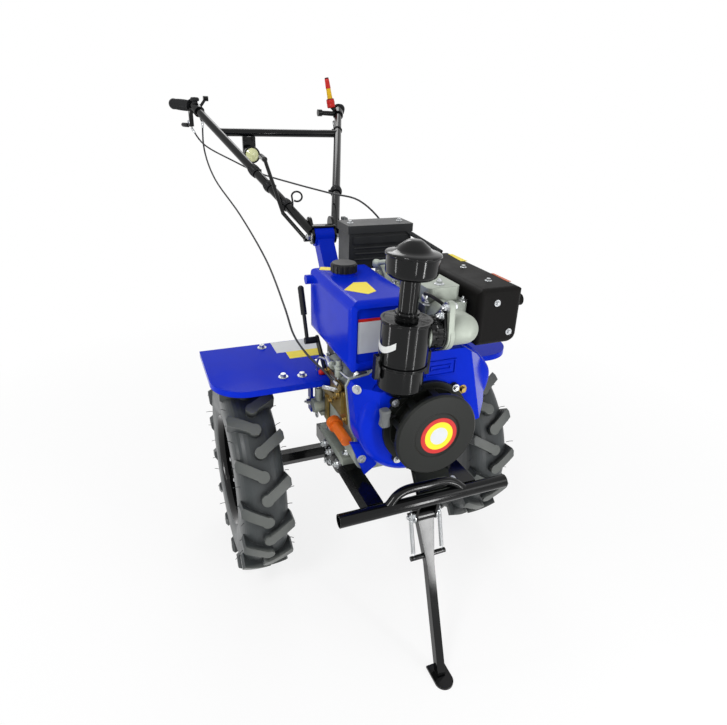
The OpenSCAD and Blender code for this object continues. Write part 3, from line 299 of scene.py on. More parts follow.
# Coloured plastics: even, satin, the grey one duller from handling
RED_MOULDING = moulding("red", "#D8241C", "#BE1C17")
YELLOW_MOULDING = moulding("yellow", "#F2C318", "#E2B214")
ORANGE_MOULDING = moulding("orange", "#E8741C", "#C65A1C", gloss=(0.36, 0.44))
GREY_MOULDING = moulding("grey", "#6E7172", "#5E6162", 0.15, (0.42, 0.5))
# Vinyl films: clear flat colours with no pattern
WHITE_FILM = film("white", "#E6E8E6", "#DADCDA")
YELLOW_FILM = film("yellow", "#FFEA2C", "#F8DE24")
RED_FILM = film("red", "#D42A26", "#C42320")
ORANGE_FILM = film("orange", "#D4683C", "#C65C34")
GREY_FILM = film("grey", "#DEE1E4", "#D0D4D8")

SLOT_FINISH = {
    "tyre": TYRE_RUBBER, "black_paint": BLACK_ENAMEL, "blue_paint": BLUE_ENAMEL, "cast": CAST_ALUMINIUM,
    "gear_cast": CAST_IRON, "exhaust": HEAT_BLACK, "zinc": YELLOW_ZINC, "spring": BRIGHT_ZINC,
    "black_plastic": BLACK_MOULDING, "orange_plastic": ORANGE_MOULDING, "red_plastic": RED_MOULDING,
    "grey_plastic": GREY_MOULDING, "grip": GRIP_RUBBER,
}


class Body(Enum):
    """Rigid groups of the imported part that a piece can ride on."""

    CHASSIS = "chassis"
    WHEEL_LEFT = "wheel_left"
    WHEEL_RIGHT = "wheel_right"
    STAND = "stand"
    HANDLEBAR = "handlebar"


def pose(base: Point, axis: Point, up: Point = UP) -> Matrix:
    """Frame that stands at a point with its own Z along an axis.

    Args:
        base: Place in millimetres from the axle.
        axis: Direction of the frame's Z.
        up: Direction that the frame's Y leans towards.

    Returns:
        Matrix from millimetres in that frame to metres in the row frame.
    """
    z = Vector(axis).normalized()
    lean = Vector(up) if abs(z.dot(Vector(up))) < 0.95 else Vector(FORWARD)
    x = lean.cross(z).normalized()
    turn = Matrix((x, z.cross(x), z)).transposed().to_4x4()
    return Matrix.Translation(at(*base)) @ turn @ Matrix.Scale(MM, 4)


def between(a: Point, b: Point, share: float) -> Point:
    """Point at a share of the way from one point to another."""
    return tuple(p + (q - p) * share for p, q in zip(a, b))


def mirrored(point: Point, side: int) -> Point:
    """The same point on the left (1) or the right (-1) side."""
    return point[0], point[1] * side, point[2]


def circle(radius: float, steps: int, turn: float = 0.0) -> list[Flat]:
    """Points round a circle, such as a hexagon's corners."""
    angles = (turn + 2 * math.pi * i / steps for i in range(steps))
    return [(radius * math.cos(a), radius * math.sin(a)) for a in angles]


def oblong(x: float, y: float, width: float, height: float) -> list[Flat]:
    """Corners of an oblong that starts at its lowest corner."""
    return [(x, y), (x + width, y), (x + width, y + height), (x, y + height)]


def wrapped(discs: Sequence[Point], steps: int = 24) -> list[Flat]:
    """Outline of a band drawn tight round discs.

    Args:
        discs: Middle and radius of each disc.
        steps: Points round each disc.

    Returns:
        Points of the outline in order.
    """
    points = [(x + p, y + q) for x, y, r in discs for p, q in circle(r, steps)]
    return [points[i] for i in convex_hull_2d(points)]


def smooth(points: Sequence[Point], steps: int) -> list[Vector]:
    """Fill in a curve that passes through every point.

    Args:
        points: Points in millimetres.
        steps: Steps from each point to the next.

    Returns:
        Points of the curve in millimetres.
    """
    way = [Vector(p) for p in points]
    path = []
    for i in range(len(way) - 1):
        a, b, c, d = way[max(i - 1, 0)], way[i], way[i + 1], way[min(i + 2, len(way) - 1)]
        for t in (k / steps for k in range(steps)):
            path.append(0.5 * (2 * b + (c - a) * t + (2 * a - 5 * b + 4 * c - d) * t ** 2
                               + (3 * b - a - 3 * c + d) * t ** 3))
    return path + [way[-1]]


def coil(foot: Vector, way: Vector, cross: tuple[Vector, Vector], radius: float, turns: int,
         run: Flat) -> Iterator[Vector]:
    """Points along the wire of a coil, ten to a turn.

    Args:
        foot: Where the coil's axis starts.
        way: Direction of the axis.
        cross: Two directions across the axis.
        radius: Radius at the wire's middle.
        turns: Turns of the coil.
        run: How far along the axis the coil starts and ends.

    Returns:
        Points in millimetres.
    """
    around = 10
    steps = turns * around
    for k in range(steps + 1):
        a = 2 * math.pi * k / around
        rise = way * (run[0] + (run[1] - run[0]) * k / steps)
        yield foot + rise + (cross[0] * math.cos(a) + cross[1] * math.sin(a)) * radius


def ring_places(middle: Point, radius: float, count: int, turn: float = 0.5) -> tuple[Point, ...]:
    """Places evenly round an axle that runs across the machine.

    Args:
        middle: Middle of the circle.
        radius: Radius of the circle.
        count: How many places.
        turn: Share of a step that the first place is turned by from straight ahead.

    Returns:
        The places in order.
    """
    x, y, z = middle
    angles = (2 * math.pi * (k + turn) / count for k in range(count))
    return tuple((x + radius * math.cos(a), y, z + radius * math.sin(a)) for a in angles)


@dataclass(frozen=True)
class BoltSet:
    """Like fasteners that all face one way.

    Attributes:
        places: Where their washers sit.
        way: Direction that their heads face.
        across: Width across the flats.
        stud: How far a stud stands out of each nut.
        finish: Number of their finish.
    """

    places: tuple[Point, ...]
    way: Point
    across: float
    stud: float = 0.0
    finish: int = 0


@dataclass
class Piece:
    """One object in the making: shapes are added in millimetres from the axle, each in one of its finishes.

    Attributes:
        name: Name of the object.
        body: Body that it rides on.
        finishes: Finishes that its shapes choose from by number.
        mesh: Mesh that grows with each shape.
    """

    name: str
    body: Body
    finishes: tuple[Finish, ...]
    mesh: bmesh.types.BMesh = field(default_factory=bmesh.new)

    def skin(self, rows: Sequence[Sequence[Vector]], finish: int = 0, loop: bool = False) -> None:
        """Skin rings of points; a ring of one point is a tip.

        Args:
            rows: Rings in order, in metres.
            finish: Number of the finish.
            loop: Whether the last ring joins the first.
        """
        rings = [[self.mesh.verts.new(p) for p in row] for row in rows]
        pairs = list(zip(rings, rings[1:])) + ([(rings[-1], rings[0])] if loop else [])
        for low, high in pairs:
            count = max(len(low), len(high))
            for i in range(count):
                j = (i + 1) % count
                corners = [low[i % len(low)], low[j % len(low)], high[j % len(high)], high[i % len(high)]]
                face = self.mesh.faces.new(list(dict.fromkeys(corners)))
                face.material_index = finish
        for ring in [] if loop else (rings[0], rings[-1]):
            if len(ring) > 2:
                self.mesh.faces.new(ring).material_index = finish

    def lathe(self, base: Point, axis: Point, profile: Sequence[Flat], steps: int = 24,
              finish: int = 0) -> None:
        """Turn a profile of radius and height round an axis.

        Args:
            base: Foot of the axis.
            axis: Direction of the axis.
            profile: Radius and height pairs from the foot up.
            steps: Steps round the axis.
            finish: Number of the finish.
        """
        stand = pose(base, axis)
        self.skin([[stand @ Vector((x, y, h)) for x, y in (circle(r, steps) if r else [(0, 0)])]
                   for r, h in profile], finish)

    def prism(self, base: Point, axis: Point, outline: Sequence[Flat], height: float, edge: float = 0.0,
              finish: int = 0, up: Point = UP) -> None:
        """Raise an outline along an axis, with its top edge broken.

        Args:
            base: Origin of the outline.
            axis: Direction that it rises in.
            outline: Points of the outline.
            height: How far it rises.
            edge: Width of the broken edge.
            finish: Number of the finish.
            up: Direction that the outline's Y leans towards.
        """
        stand = pose(base, axis, up)
        middle = Vector((sum(x for x, _ in outline), sum(y for _, y in outline))) / len(outline)
        inner = [Vector(p) - (Vector(p) - middle).normalized() * edge for p in outline]
        rows = [(outline, 0.0), (outline, height - edge)] + ([(inner, height)] if edge else [])
        self.skin([[stand @ Vector((x, y, h)) for x, y in row] for row, h in rows], finish)

    def tube(self, path: Sequence[Point], radius: float, sides: int = 10, finish: int = 0,
             loop: bool = False) -> None:
        """Sweep a round section along a path.

        Args:
            path: Points in millimetres.
            radius: Radius of the section.
            sides: Sides of the section.
            finish: Number of the finish.
            loop: Whether the path closes on itself.
        """
        way = [Vector(p) for p in path]
        count = len(way)
        rows = []
        side = None
        for i, point in enumerate(way):
            before = way[i - 1] if loop or i else way[0]
            after = way[(i + 1) % count] if loop or i < count - 1 else way[-1]
            ahead = (after - before).normalized()
            start = side or ahead.orthogonal()
            side = (start - ahead * start.dot(ahead)).normalized()
            rise = ahead.cross(side)
            rows.append([at(*(point + side * x + rise * y)) for x, y in circle(radius, sides)])
        self.skin(rows, finish, loop)

    def bolt(self, base: Point, axis: Point, across: float = 13.0, finish: int = 0,
             stud: float = 0.0) -> None:
        """Add a hexagon head on its washer, with the end of its stud if it is a nut.

        Args:
            base: Where the washer sits.
            axis: Direction that the head faces.
            across: Width across the flats.
            finish: Number of the finish.
            stud: How far a stud stands out of the nut.
        """
        washer, thick, head, thread = across * 0.92, across * 0.13, across * 0.55, across * 0.3
        way = Vector(axis).normalized()
        disc = [(0, -1), (washer, -1), (washer, thick * 0.7), (washer * 0.94, thick), (0, thick)]
        self.lathe(base, axis, disc, 20, finish)
        seat = tuple(Vector(base) + way * thick)
        self.prism(seat, axis, circle(across / math.sqrt(3), 6, 0.3), head, across * 0.07, finish)
        if stud:
            end = tuple(Vector(seat) + way * head)
            rod = [(0, -1), (thread, -1), (thread, stud - 1), (across * 0.22, stud), (0, stud)]
            self.lathe(end, axis, rod, 12, finish)

    def fasten(self, sets: Sequence[BoltSet], side: int = 1) -> None:
        """Add sets of fasteners as they are or mirrored.

        Args:
            sets: Fasteners as they sit on the left side or on both.
            side: Left (1) or right (-1).
        """
        for group in sets:
            way = mirrored(group.way, side)
            for place in group.places:
                self.bolt(mirrored(place, side), way, group.across, group.finish, group.stud)

    def done(self, sharp: float = 35.0, stands_for: str = "",
             rides: bool = True) -> bpy.types.Object:
        """Turn the shapes into one object.

        Args:
            sharp: Angle in degrees above which an edge stays sharp.
            stands_for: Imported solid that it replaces, if any.
            rides: Whether it rides on its body alone.

        Returns:
            The new object.
        """
        bmesh.ops.recalc_face_normals(self.mesh, faces=self.mesh.faces)
        data = bpy.data.meshes.new(self.name)
        self.mesh.to_mesh(data)
        self.mesh.free()
        for finish in self.finishes:
            data.materials.append(finish.material())
        data.shade_smooth()
        data.set_sharp_from_angle(angle=math.radians(sharp))
        obj = bpy.data.objects.new(self.name, data)
        bpy.context.scene.collection.objects.link(obj)
        if rides:
            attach(obj, self.body.value)
        if stands_for:
            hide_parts(stands_for)
        LOG.info("%s: %d faces", self.name, len(data.polygons))
        return obj


@dataclass
class Studio:
    """Pale floor, soft lamps and the camera at the photograph's angle.

    Attributes:
        eye: Camera place in millimetres from the axle.
        yaw: Heading of the view in degrees.
        pitch: Downward tilt in degrees.
        roll: Roll in degrees.
        focal_px: Focal length in image pixels.
        floor_half: Half of the floor's side in metres.
        floor_glow: Strength that lifts the floor to white.
        fade: Distances in metres from which the floor fades and at which it is white.
        room_glow: Strength of the white room as a light.
        aim: Point in metres that every lamp faces.
        lamps: Name, place and sides in metres, and watts of each lamp.
    """

    eye: Point = (1364.0, -549.0, 1256.0)
    yaw: float = 157.1
    pitch: float = 24.9
    roll: float = 1.92
    focal_px: float = 553.0
    floor_half: float = 40.0
    floor_glow: float = 0.8
    fade: Flat = (0.7, 1.9)
    room_glow: float = 0.5
    aim: Point = (0.2, 0.0, 0.55)
    lamps: tuple[tuple[str, Point, Flat, float], ...] = (
        ("key_lamp", (1.9, -1.9, 3.0), (0.8, 0.8), 36.0),
        ("fill_lamp", (2.6, 1.8, 1.8), (1.2, 1.2), 12.0),
        ("back_lamp", (-2.2, 0.4, 2.8), (1.2, 1.2), 20.0),
        ("left_strip", (0.3, -2.1, 0.5), (0.12, 0.9), 6.5),
        ("right_strip", (1.94, 0.55, 0.42), (0.1, 0.75), 7.0),
        ("near_strip", (2.2, -0.35, 0.5), (0.05, 0.7), 2.5))

    def build(self) -> None:
        """Set the view, then make the camera, floor, room and lamps."""
        bpy.context.scene.view_settings.view_transform = "Standard"
        self.place_camera()
        self.lay_floor()
        self.paint_room()
        for lamp in self.lamps:
            self.hang(*lamp)

    def place_camera(self) -> None:
        """Put the camera where the photograph was taken from."""
        yaw, pitch, roll = (math.radians(a) for a in (self.yaw, self.pitch, self.roll))
        ahead = Vector((math.cos(yaw) * math.cos(pitch), math.sin(yaw) * math.cos(pitch), -math.sin(pitch)))
        level = ahead.cross(Vector(UP)).normalized()
        rise = level.cross(ahead)
        right = level * math.cos(roll) + rise * math.sin(roll)
        top = rise * math.cos(roll) - level * math.sin(roll)
        lens = bpy.data.cameras.new("camera")
        lens.sensor_width = SENSOR_W
        lens.lens = self.focal_px * SENSOR_W / IMAGE_W
        lens.clip_end = 200.0
        camera = bpy.data.objects.new("camera", lens)
        turn = Matrix((right, top, -ahead)).transposed().to_4x4()
        camera.matrix_world = Matrix.Translation(at(*self.eye)) @ turn
        bpy.context.scene.collection.objects.link(camera)
        bpy.context.scene.camera = camera

    def seen_share(self, tree: bpy.types.NodeTree) -> bpy.types.NodeSocket:
        """Tell rays from the eye, a reflection or through glass from rays that light the object.

        Args:
            tree: Node tree that gets the nodes.

        Returns:
            Socket that is 1 for a ray that is seen and 0 for one that lights.
        """
        path = add(tree, "ShaderNodeLightPath")
        first = add(tree, "ShaderNodeMath", {
            0: path.outputs["Is Camera Ray"], 1: path.outputs["Is Glossy Ray"]}, operation="MAXIMUM")
        both = add(tree, "ShaderNodeMath", {
            0: first.outputs[0], 1: path.outputs["Is Transmission Ray"]}, operation="MAXIMUM")
        return both.outputs[0]

    def lay_floor(self) -> None:
        """Lay a pale floor that keeps the object's shadow."""
        material = bpy.data.materials.new("pale_floor")
        tree = fresh_tree(material)
        matt = add(tree, "ShaderNodeBsdfDiffuse", {"Color": linear("#E8E8E8")})
        thin = add(tree, "ShaderNodeBsdfDiffuse", {"Color": linear("#7C7C7C")})
        glow = add(tree, "ShaderNodeEmission", {"Color": linear("#FFFFFF"), "Strength": self.floor_glow})
        lifted = add(tree, "ShaderNodeAddShader", {0: thin.outputs[0], 1: glow.outputs[0]})
        white = add(tree, "ShaderNodeEmission", {"Color": linear("#FFFFFF"), "Strength": 1.0})
        place = add(tree, "ShaderNodeTexCoord").outputs["Object"]
        far = add(tree, "ShaderNodeVectorMath", {0: place}, operation="LENGTH")
        fade = add(tree, "ShaderNodeMapRange", {
            "Value": far.outputs["Value"], "From Min": self.fade[0], "From Max": self.fade[1]})
        seen = add(tree, "ShaderNodeMixShader", {
            "Fac": fade.outputs["Result"], 1: lifted.outputs[0], 2: white.outputs[0]})
        shown = add(tree, "ShaderNodeMixShader", {
            "Fac": self.seen_share(tree), 1: matt.outputs[0], 2: seen.outputs[0]})
        add(tree, "ShaderNodeOutputMaterial", {"Surface": shown.outputs[0]})
        mesh = bpy.data.meshes.new("floor")
        h = self.floor_half
        mesh.from_pydata([(x, y, 0) for x, y in oblong(-h, -h, 2 * h, 2 * h)], [], [(0, 1, 2, 3)])
        mesh.materials.append(material)
        floor = bpy.data.objects.new("floor", mesh)
        bpy.context.scene.collection.objects.link(floor)

    def paint_room(self) -> None:
        """Put a white room round the object that looks white and lights it softly."""
        world = bpy.data.worlds.new("white_room")
        bpy.context.scene.world = world
        tree = fresh_tree(world)
        strength = add(tree, "ShaderNodeMapRange", {
            "Value": self.seen_share(tree), "To Min": self.room_glow, "To Max": 1.0})
        glow = add(tree, "ShaderNodeBackground", {
            "Color": linear("#FFFFFF"), "Strength": strength.outputs["Result"]})
        add(tree, "ShaderNodeOutputWorld", {"Surface": glow.outputs[0]})

    def hang(self, name: str, place: Point, sides: Flat, watts: float) -> None:
        """Hang one lamp that faces the middle of the object.

        Args:
            name: Name of the lamp.
            place: Where it hangs, in metres.
            sides: Its width and height, in metres.
            watts: Its power.
        """
        data = bpy.data.lights.new(name, "AREA")
        data.shape = "RECTANGLE"
        data.size, data.size_y = sides
        data.energy = watts
        lamp = bpy.data.objects.new(name, data)
        lamp.location = place
        lamp.rotation_euler = (Vector(self.aim) - lamp.location).to_track_quat("-Z", "Y").to_euler()
        bpy.context.scene.collection.objects.link(lamp)


@dataclass
class Solids:
    """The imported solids, each dressed in the finish of its slot.

    Attributes:
        special: Nodes whose finish differs from their slot's.
    """

    special: dict[str, Finish] = field(default_factory=dict)

    def dress(self) -> None:
        """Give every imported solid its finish."""
        slots = {s["node"]: s["material_slot"] for s in frame["record"]["subparts"]}
        for name, obj in frame["nodes"].items():
            finish = self.special.get(name) or SLOT_FINISH[slots[name]]
            obj.data.materials.clear()
            obj.data.materials.append(finish.material())
        LOG.info("dressed %d solids", len(frame["nodes"]))


@dataclass
class Cables:
    """Clutch, throttle and stop cables: black conduits that hang between the handlebar and the machine.

    Attributes:
        radius: Radius of the conduit.
        clutch: Route from the right trigger to the clutch bell.
        throttle: Route from the right thumb lever to the governor.
        stop: Route from the left lever to the crankcase.
        bend_from: Not used.
        bend_to: Not used.
    """

    radius: float = 2.9
    clutch: tuple[Point, ...] = (
        (-952, -298, 1161), (-905, -262, 1105), (-800, -181, 1060), (-700, -103, 1025), (-560, -14, 1005),
        (-420, 65, 992), (-300, 120, 985), (-200, 160, 930), (-152, 165, 860), (-110, 140, 790),
        (-40, 90, 722), (30, 65, 700), (83.5, 60, 696))
    throttle: tuple[Point, ...] = (
        (-917.5, -261.5, 1184.5), (-880, -268, 1090), (-760, -254, 1000), (-560, -208, 907),
        (-330, -176, 806), (-100, -182, 735), (20, -188, 692), (110, -176, 668),
        (200, -162, 662), (279.6, -154, 660))
    stop: tuple[Point, ...] = (
        (-920, 250, 1195), (-860, 235, 1150), (-740, 205, 1085), (-520, 125, 960), (-360, 80, 880),
        (-250, 75, 830), (-150, 115, 770), (-60, 130, 700), (40, 125, 655), (110, 120, 640))
    bend_from: Point = (-200, 0, 880)
    bend_to: Point = (-430, 0, 960)

    def build(self) -> None:
        """Lay the three cables and crimp a ferrule on each end."""
        ends = Piece("cable_ferrules_handlebar", Body.HANDLEBAR, (BRIGHT_ZINC,))
        feet = Piece("cable_ferrules_engine", Body.CHASSIS, (BRIGHT_ZINC,))
        for name, route in (("clutch", self.clutch), ("throttle", self.throttle), ("stop", self.stop)):
            path = smooth(route, 6)
            cable = Piece(f"{name}_conduit", Body.HANDLEBAR, (CABLE_JACKET,))
            cable.tube(path, self.radius, 10)
            obj = cable.done(60.0, f"{name}_cable", rides=False)
            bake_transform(obj)
            self.ferrule(ends, path[0], path[1])
            self.ferrule(feet, path[-1], path[-2])
        ends.done()
        feet.done()

    def ferrule(self, piece: Piece, end: Vector, inner: Vector) -> None:
        """Crimp one stepped sleeve on a cable's end.

        Args:
            piece: Piece that gets the sleeve.
            end: End of the cable.
            inner: Next point along the cable.
        """
        steps = ((1.6, 0), (1.8, 1), (1.8, 13), (1.0, 14), (1.0, 21), (0.4, 22))
        profile = [(0, 0)] + [(self.radius + proud, h) for proud, h in steps] + [(0, 22)]
        piece.lathe(tuple(end), tuple(inner - end), profile, 14)


@dataclass
class StandSprings:
    """The two coil springs that pull the front stand to its stops.

    Attributes:
        top: Peg on the bracket, on the left side.
        foot: Pin on the leg, on the left side.
        coil_r: Radius of the coil at its wire's middle.
        wire_r: Radius of the wire.
        turns: Turns of the coil.
        hook: Length of the hook at each end.
        hook_r: Radius of the hook's eye.
    """

    top: Point = (466.0, 38.0, 394.0)
    foot: Point = (499.3, 38.0, 286.8)
    coil_r: float = 4.2
    wire_r: float = 1.15
    turns: int = 21
    hook: float = 11.0
    hook_r: float = 5.0

    def build(self) -> None:
        """Wind both springs and let them stretch between the bracket and the leg."""
        for side, name in SIDES:
            top, foot = Vector(mirrored(self.top, side)), Vector(mirrored(self.foot, side))
            spring = Piece(f"stand_coil_{name}", Body.STAND, (BRIGHT_ZINC,))
            spring.tube(self.wire(top, foot), self.wire_r, 6)
            obj = spring.done(60.0, f"spring_{name}", rides=False)
            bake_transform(obj)

    def wire(self, top: Vector, foot: Vector) -> list[Vector]:
        """Points along the wire from the top hook to the bottom hook.

        Args:
            top: Peg that holds the top hook.
            foot: Pin that holds the bottom hook.

        Returns:
            Points in millimetres.
        """
        way = (foot - top).normalized()
        across = Vector(LEFT)
        out = way.cross(across)
        # Each eye is an arc of 200 degrees in eight steps
        bends = [math.radians(25 * k) for k in range(9)]
        r = self.hook_r
        eyes = [[end + way * (-r * math.cos(a)) + out * (r * math.sin(a)) for a in angles]
                for end, angles in ((top, bends[::-1]), (foot, bends))]
        run = (self.hook, (foot - top).length - self.hook)
        return eyes[0] + list(coil(top, way, (across, out), self.coil_r, self.turns, run)) + eyes[1]


@dataclass
class Controls:
    """What the hands hold: grips, levers, lamp glass, knob, cable bands, the wire loop and the yoke's strap.

    Attributes:
        tip: End of the left arm's tube.
        base: Foot of the left arm's tube.
        grip_way: Direction of the left grip.
        grip_l: Length of a grip.
        grip_r: Radius of a grip between its ribs.
        ribs: Ribs along a grip.
        arm_r: Radius of an arm's tube.
        lever_foot: Foot of the left lever.
        lever_top: Top of the left lever.
        lamp: Back of the lamp glass.
        lamp_r: Radius of the lamp glass.
        straps: Side, share of the arm's length, width and thickness of each cable band.
        strap_half: Half of the width of the strap over the column's head.
    """

    tip: Point = (-955.0, 282.0, 1235.0)
    base: Point = (-325.0, 50.0, 912.0)
    grip_way: Point = (-0.921, 0.389, 0.034)
    grip_l: float = 147.0
    grip_r: float = 17.6
    ribs: int = 22
    arm_r: float = 14.0
    lever_foot: Point = (-943.0, 249.0, 1246.0)
    lever_top: Point = (-955.0, 232.0, 1351.0)
    lamp: Point = (-760.0, -118.0, 1083.0)
    lamp_r: float = 24.6
    straps: tuple[tuple[int, float, int, float], ...] = (
        (1, 0.22, 26, 6.0), (1, 0.78, 10, 3.0),
        (-1, 0.39, 36, 4.5), (-1, 0.27, 26, 4.5), (-1, 0.13, 26, 5.0))
    strap_half: float = 38.0

    def build(self) -> None:
        """Make every hand control."""
        for side, name in SIDES:
            self.grip(side, name)
        self.lever()
        self.lamp_glass()
        self.star_knob()
        self.bands()
        self.loop()
        self.trigger()
        self.bridge()

    def grip(self, side: int, name: str) -> None:
        """Mould one ribbed grip with a guard at its inner end.

        Args:
            side: Left (1) or right (-1).
            name: Name of that side.
        """
        r, end = self.grip_r, self.grip_l
        start = Vector(mirrored(self.tip, side)) + Vector(mirrored(self.grip_way, side)) * self.arm_r
        profile = [(0, 0), (r + 6, 0), (r + 7, 1.5), (r + 6, 4), (r + 0.8, 6)]
        for k in range(self.ribs * 4 + 1):
            share = k / (self.ribs * 4)
            swell = 1.6 * math.sin(math.pi * share) + 0.9 * math.cos(2 * math.pi * k / 4)
            profile.append((r + swell, 9 + (end - 24) * share))
        profile += [(r + 1.8, end - 13), (r + 2.2, end - 8), (r + 0.6, end - 3), (r - 3, end),
                    (0, end + 0.5)]
        piece = Piece(f"ribbed_grip_{name}", Body.HANDLEBAR, (GRIP_RUBBER,))
        piece.lathe(tuple(start), mirrored(self.grip_way, side), profile, 28)
        piece.done(50.0, f"grip_{name}")

    def lever(self) -> None:
        """Slip the red boot, the yellow sleeve and the red tip on the left lever."""
        boot = [(0, -2), (13, -2), (16.2, 1), (16.2, 11), (15.2, 13), (16.2, 15), (15.6, 27), (13, 31),
                (0, 31)]
        sleeve = [(0, 30), (10.5, 30), (9.6, 45), (9.0, 69), (0, 69)]
        cap = [(0, 68), (9.4, 68), (9.8, 70), (9.0, 90), (8.4, 102), (6, 107), (0, 108.5)]
        way = tuple(Vector(self.lever_top) - Vector(self.lever_foot))
        piece = Piece("left_lever_sleeves", Body.HANDLEBAR, (RED_MOULDING, YELLOW_MOULDING))
        for profile, finish in ((boot, 0), (sleeve, 1), (cap, 0)):
            piece.lathe(self.lever_foot, way, profile, 24, finish)
        piece.done(40.0)

    def lamp_glass(self) -> None:
        """Press the headlamp's glass with rings and set it in a black bezel."""
        piece = Piece("headlamp_glass", Body.HANDLEBAR, (LAMP_GLASS, BLACK_ENAMEL))
        r, seat, crown, rings = self.lamp_r, 9, 9, 8
        glass = [(0, 0), (r - 3, 0), (r - 3, 7), (r, 8)]
        for k in range(rings):
            share = 1 - k / rings
            bulge = crown * (1 - share ** 2)
            glass += [(r * share, seat + bulge), (r * (share - 0.05), seat + 0.5 + bulge)]
        bezel = [(r - 1, 6), (r + 4.4, 6), (r + 4.9, 8), (r + 4.2, 11.6), (r + 0.6, 12.2), (r - 1, 9.6)]
        piece.lathe(self.lamp, FORWARD, glass + [(0, 18.4)], 36, 0)
        piece.lathe(self.lamp, FORWARD, bezel, 36, 1)
        piece.done(30.0)

    def star_knob(self) -> None:
        """Mould the star knob that clamps the handlebar."""
        (x0, inner, z0), (x1, outer, z1) = box_mm("clamp_knob")
        x, z, rim, lobe, lobes = (x0 + x1) / 2, (z0 + z1) / 2, (x1 - x0) / 2, 3.5, 6
        star = []
        for a in (2 * math.pi * i / 60 for i in range(60)):
            r = rim - lobe + lobe * math.cos(lobes * a)
            star.append((r * math.cos(a), r * math.sin(a)))
        shank = outer - inner - 26
        piece = Piece("star_knob", Body.HANDLEBAR, (GREY_MOULDING, BRIGHT_ZINC))
        piece.prism((x, outer - 18, z), LEFT, star, 15, 2.5, 0)
        piece.lathe((x, outer - 4, z), LEFT, [(0, 0), (13, 0), (13, 2.5), (11, 4), (0, 4)], 24, 0)
        piece.lathe((x, inner + 9, z), LEFT, [(0, 0), (11, 0), (11, shank), (0, shank)], 20, 1)
        piece.done(stands_for="clamp_knob")

    def bands(self) -> None:
        """Strap the cables to the arms with black bands, each with its buckle."""
        piece = Piece("cable_bands", Body.HANDLEBAR, (BLACK_MOULDING,))
        r = self.arm_r
        for side, share, width, proud in self.straps:
            foot, end = mirrored(self.base, side), mirrored(self.tip, side)
            place, way = between(foot, end, share), Vector(end) - Vector(foot)
            steps = max(2, width // 5) * 4
            profile = [(r, 0)]
            for k in range(steps + 1):
                lap = 0.6 * math.cos(2 * math.pi * k / 4)
                swell = proud * (0.55 + 0.45 * math.sin(math.pi * k / steps))
                profile.append((r + swell + lap, width * k / steps))
            piece.lathe(place, tuple(way), profile + [(r, width)], 24)
            out = way.cross(Vector(UP)).normalized() * -side
            buckle = Vector(place) + out * (r + 1) + way.normalized() * (width / 2)
            piece.prism(tuple(buckle), tuple(out), oblong(-6, -5, 12, 10), proud + 5, 1.4)
        piece.done()

    def loop(self) -> None:
        """Bend the wire loop on the right arm that guides the cable."""
        piece = Piece("guide_loop", Body.HANDLEBAR, (BLACK_ENAMEL,))
        x, y, z = mirrored(between(self.base, self.tip, 0.1), -1)
        radius, lean = 15, 6
        path = [(x, y, z), (x + 1, y + 2, z + 24)]
        for a in (math.radians(200 - 27 * k) for k in range(13)):
            p, q = math.cos(a), math.sin(a)
            path.append((x + 8 + lean * p, y + 14 + radius * p, z + 46 + radius * q))
        piece.tube(smooth(path, 3), 3.0, 8)
        piece.done(60.0)

    def trigger(self) -> None:
        """Fit the knob on the right arm, the trigger's channel and the rubber on the trigger."""
        knob = [(0, 0), (10, 0), (10, 9), (15, 10), (16, 12), (16, 18), (13, 22), (0, 23)]
        channel = [(-11, -29), (11, -29), (11, 22), (7, 29), (-7, 29), (-11, 22)]
        rubber = [(0, 0), (7, 0), (7.6, 2), (7.6, 34), (6, 39), (0, 41)]
        piece = Piece("trigger_fittings", Body.HANDLEBAR, (BLACK_MOULDING, BLACK_ENAMEL, BRIGHT_ZINC))
        piece.lathe((-946, -279, 1243), UP, knob, 24, 0)
        piece.prism((-952, -290, 1196), RIGHT, channel, 15, 2.0, 1)
        piece.bolt((-952, -305, 1182), RIGHT, 9, 2)
        piece.lathe((-970, -307, 1170), (-2, -1, 0), rubber, 16, 0)
        piece.done()

    def bridge(self) -> None:
        """Bend the strap that joins the yoke's cheeks over the column's head."""
        piece = Piece("yoke_bridge", Body.HANDLEBAR, (BLACK_ENAMEL,))
        head = box_mm("handle_column")[1][2] - PIVOT[2]
        half = self.strap_half
        section = ((2, -half), (6, -half), (7, 2 - half), (7, half - 2), (6, half), (2, half))
        rows = []
        for a in (math.radians(62 + 7 * k) for k in range(19)):
            out = Vector((math.cos(a), 0, math.sin(a)))
            rows.append([at(*(Vector(PIVOT) + out * (head + r) + Vector((0, y, 0)))) for r, y in section])
        piece.skin(rows)
        piece.done(40.0)


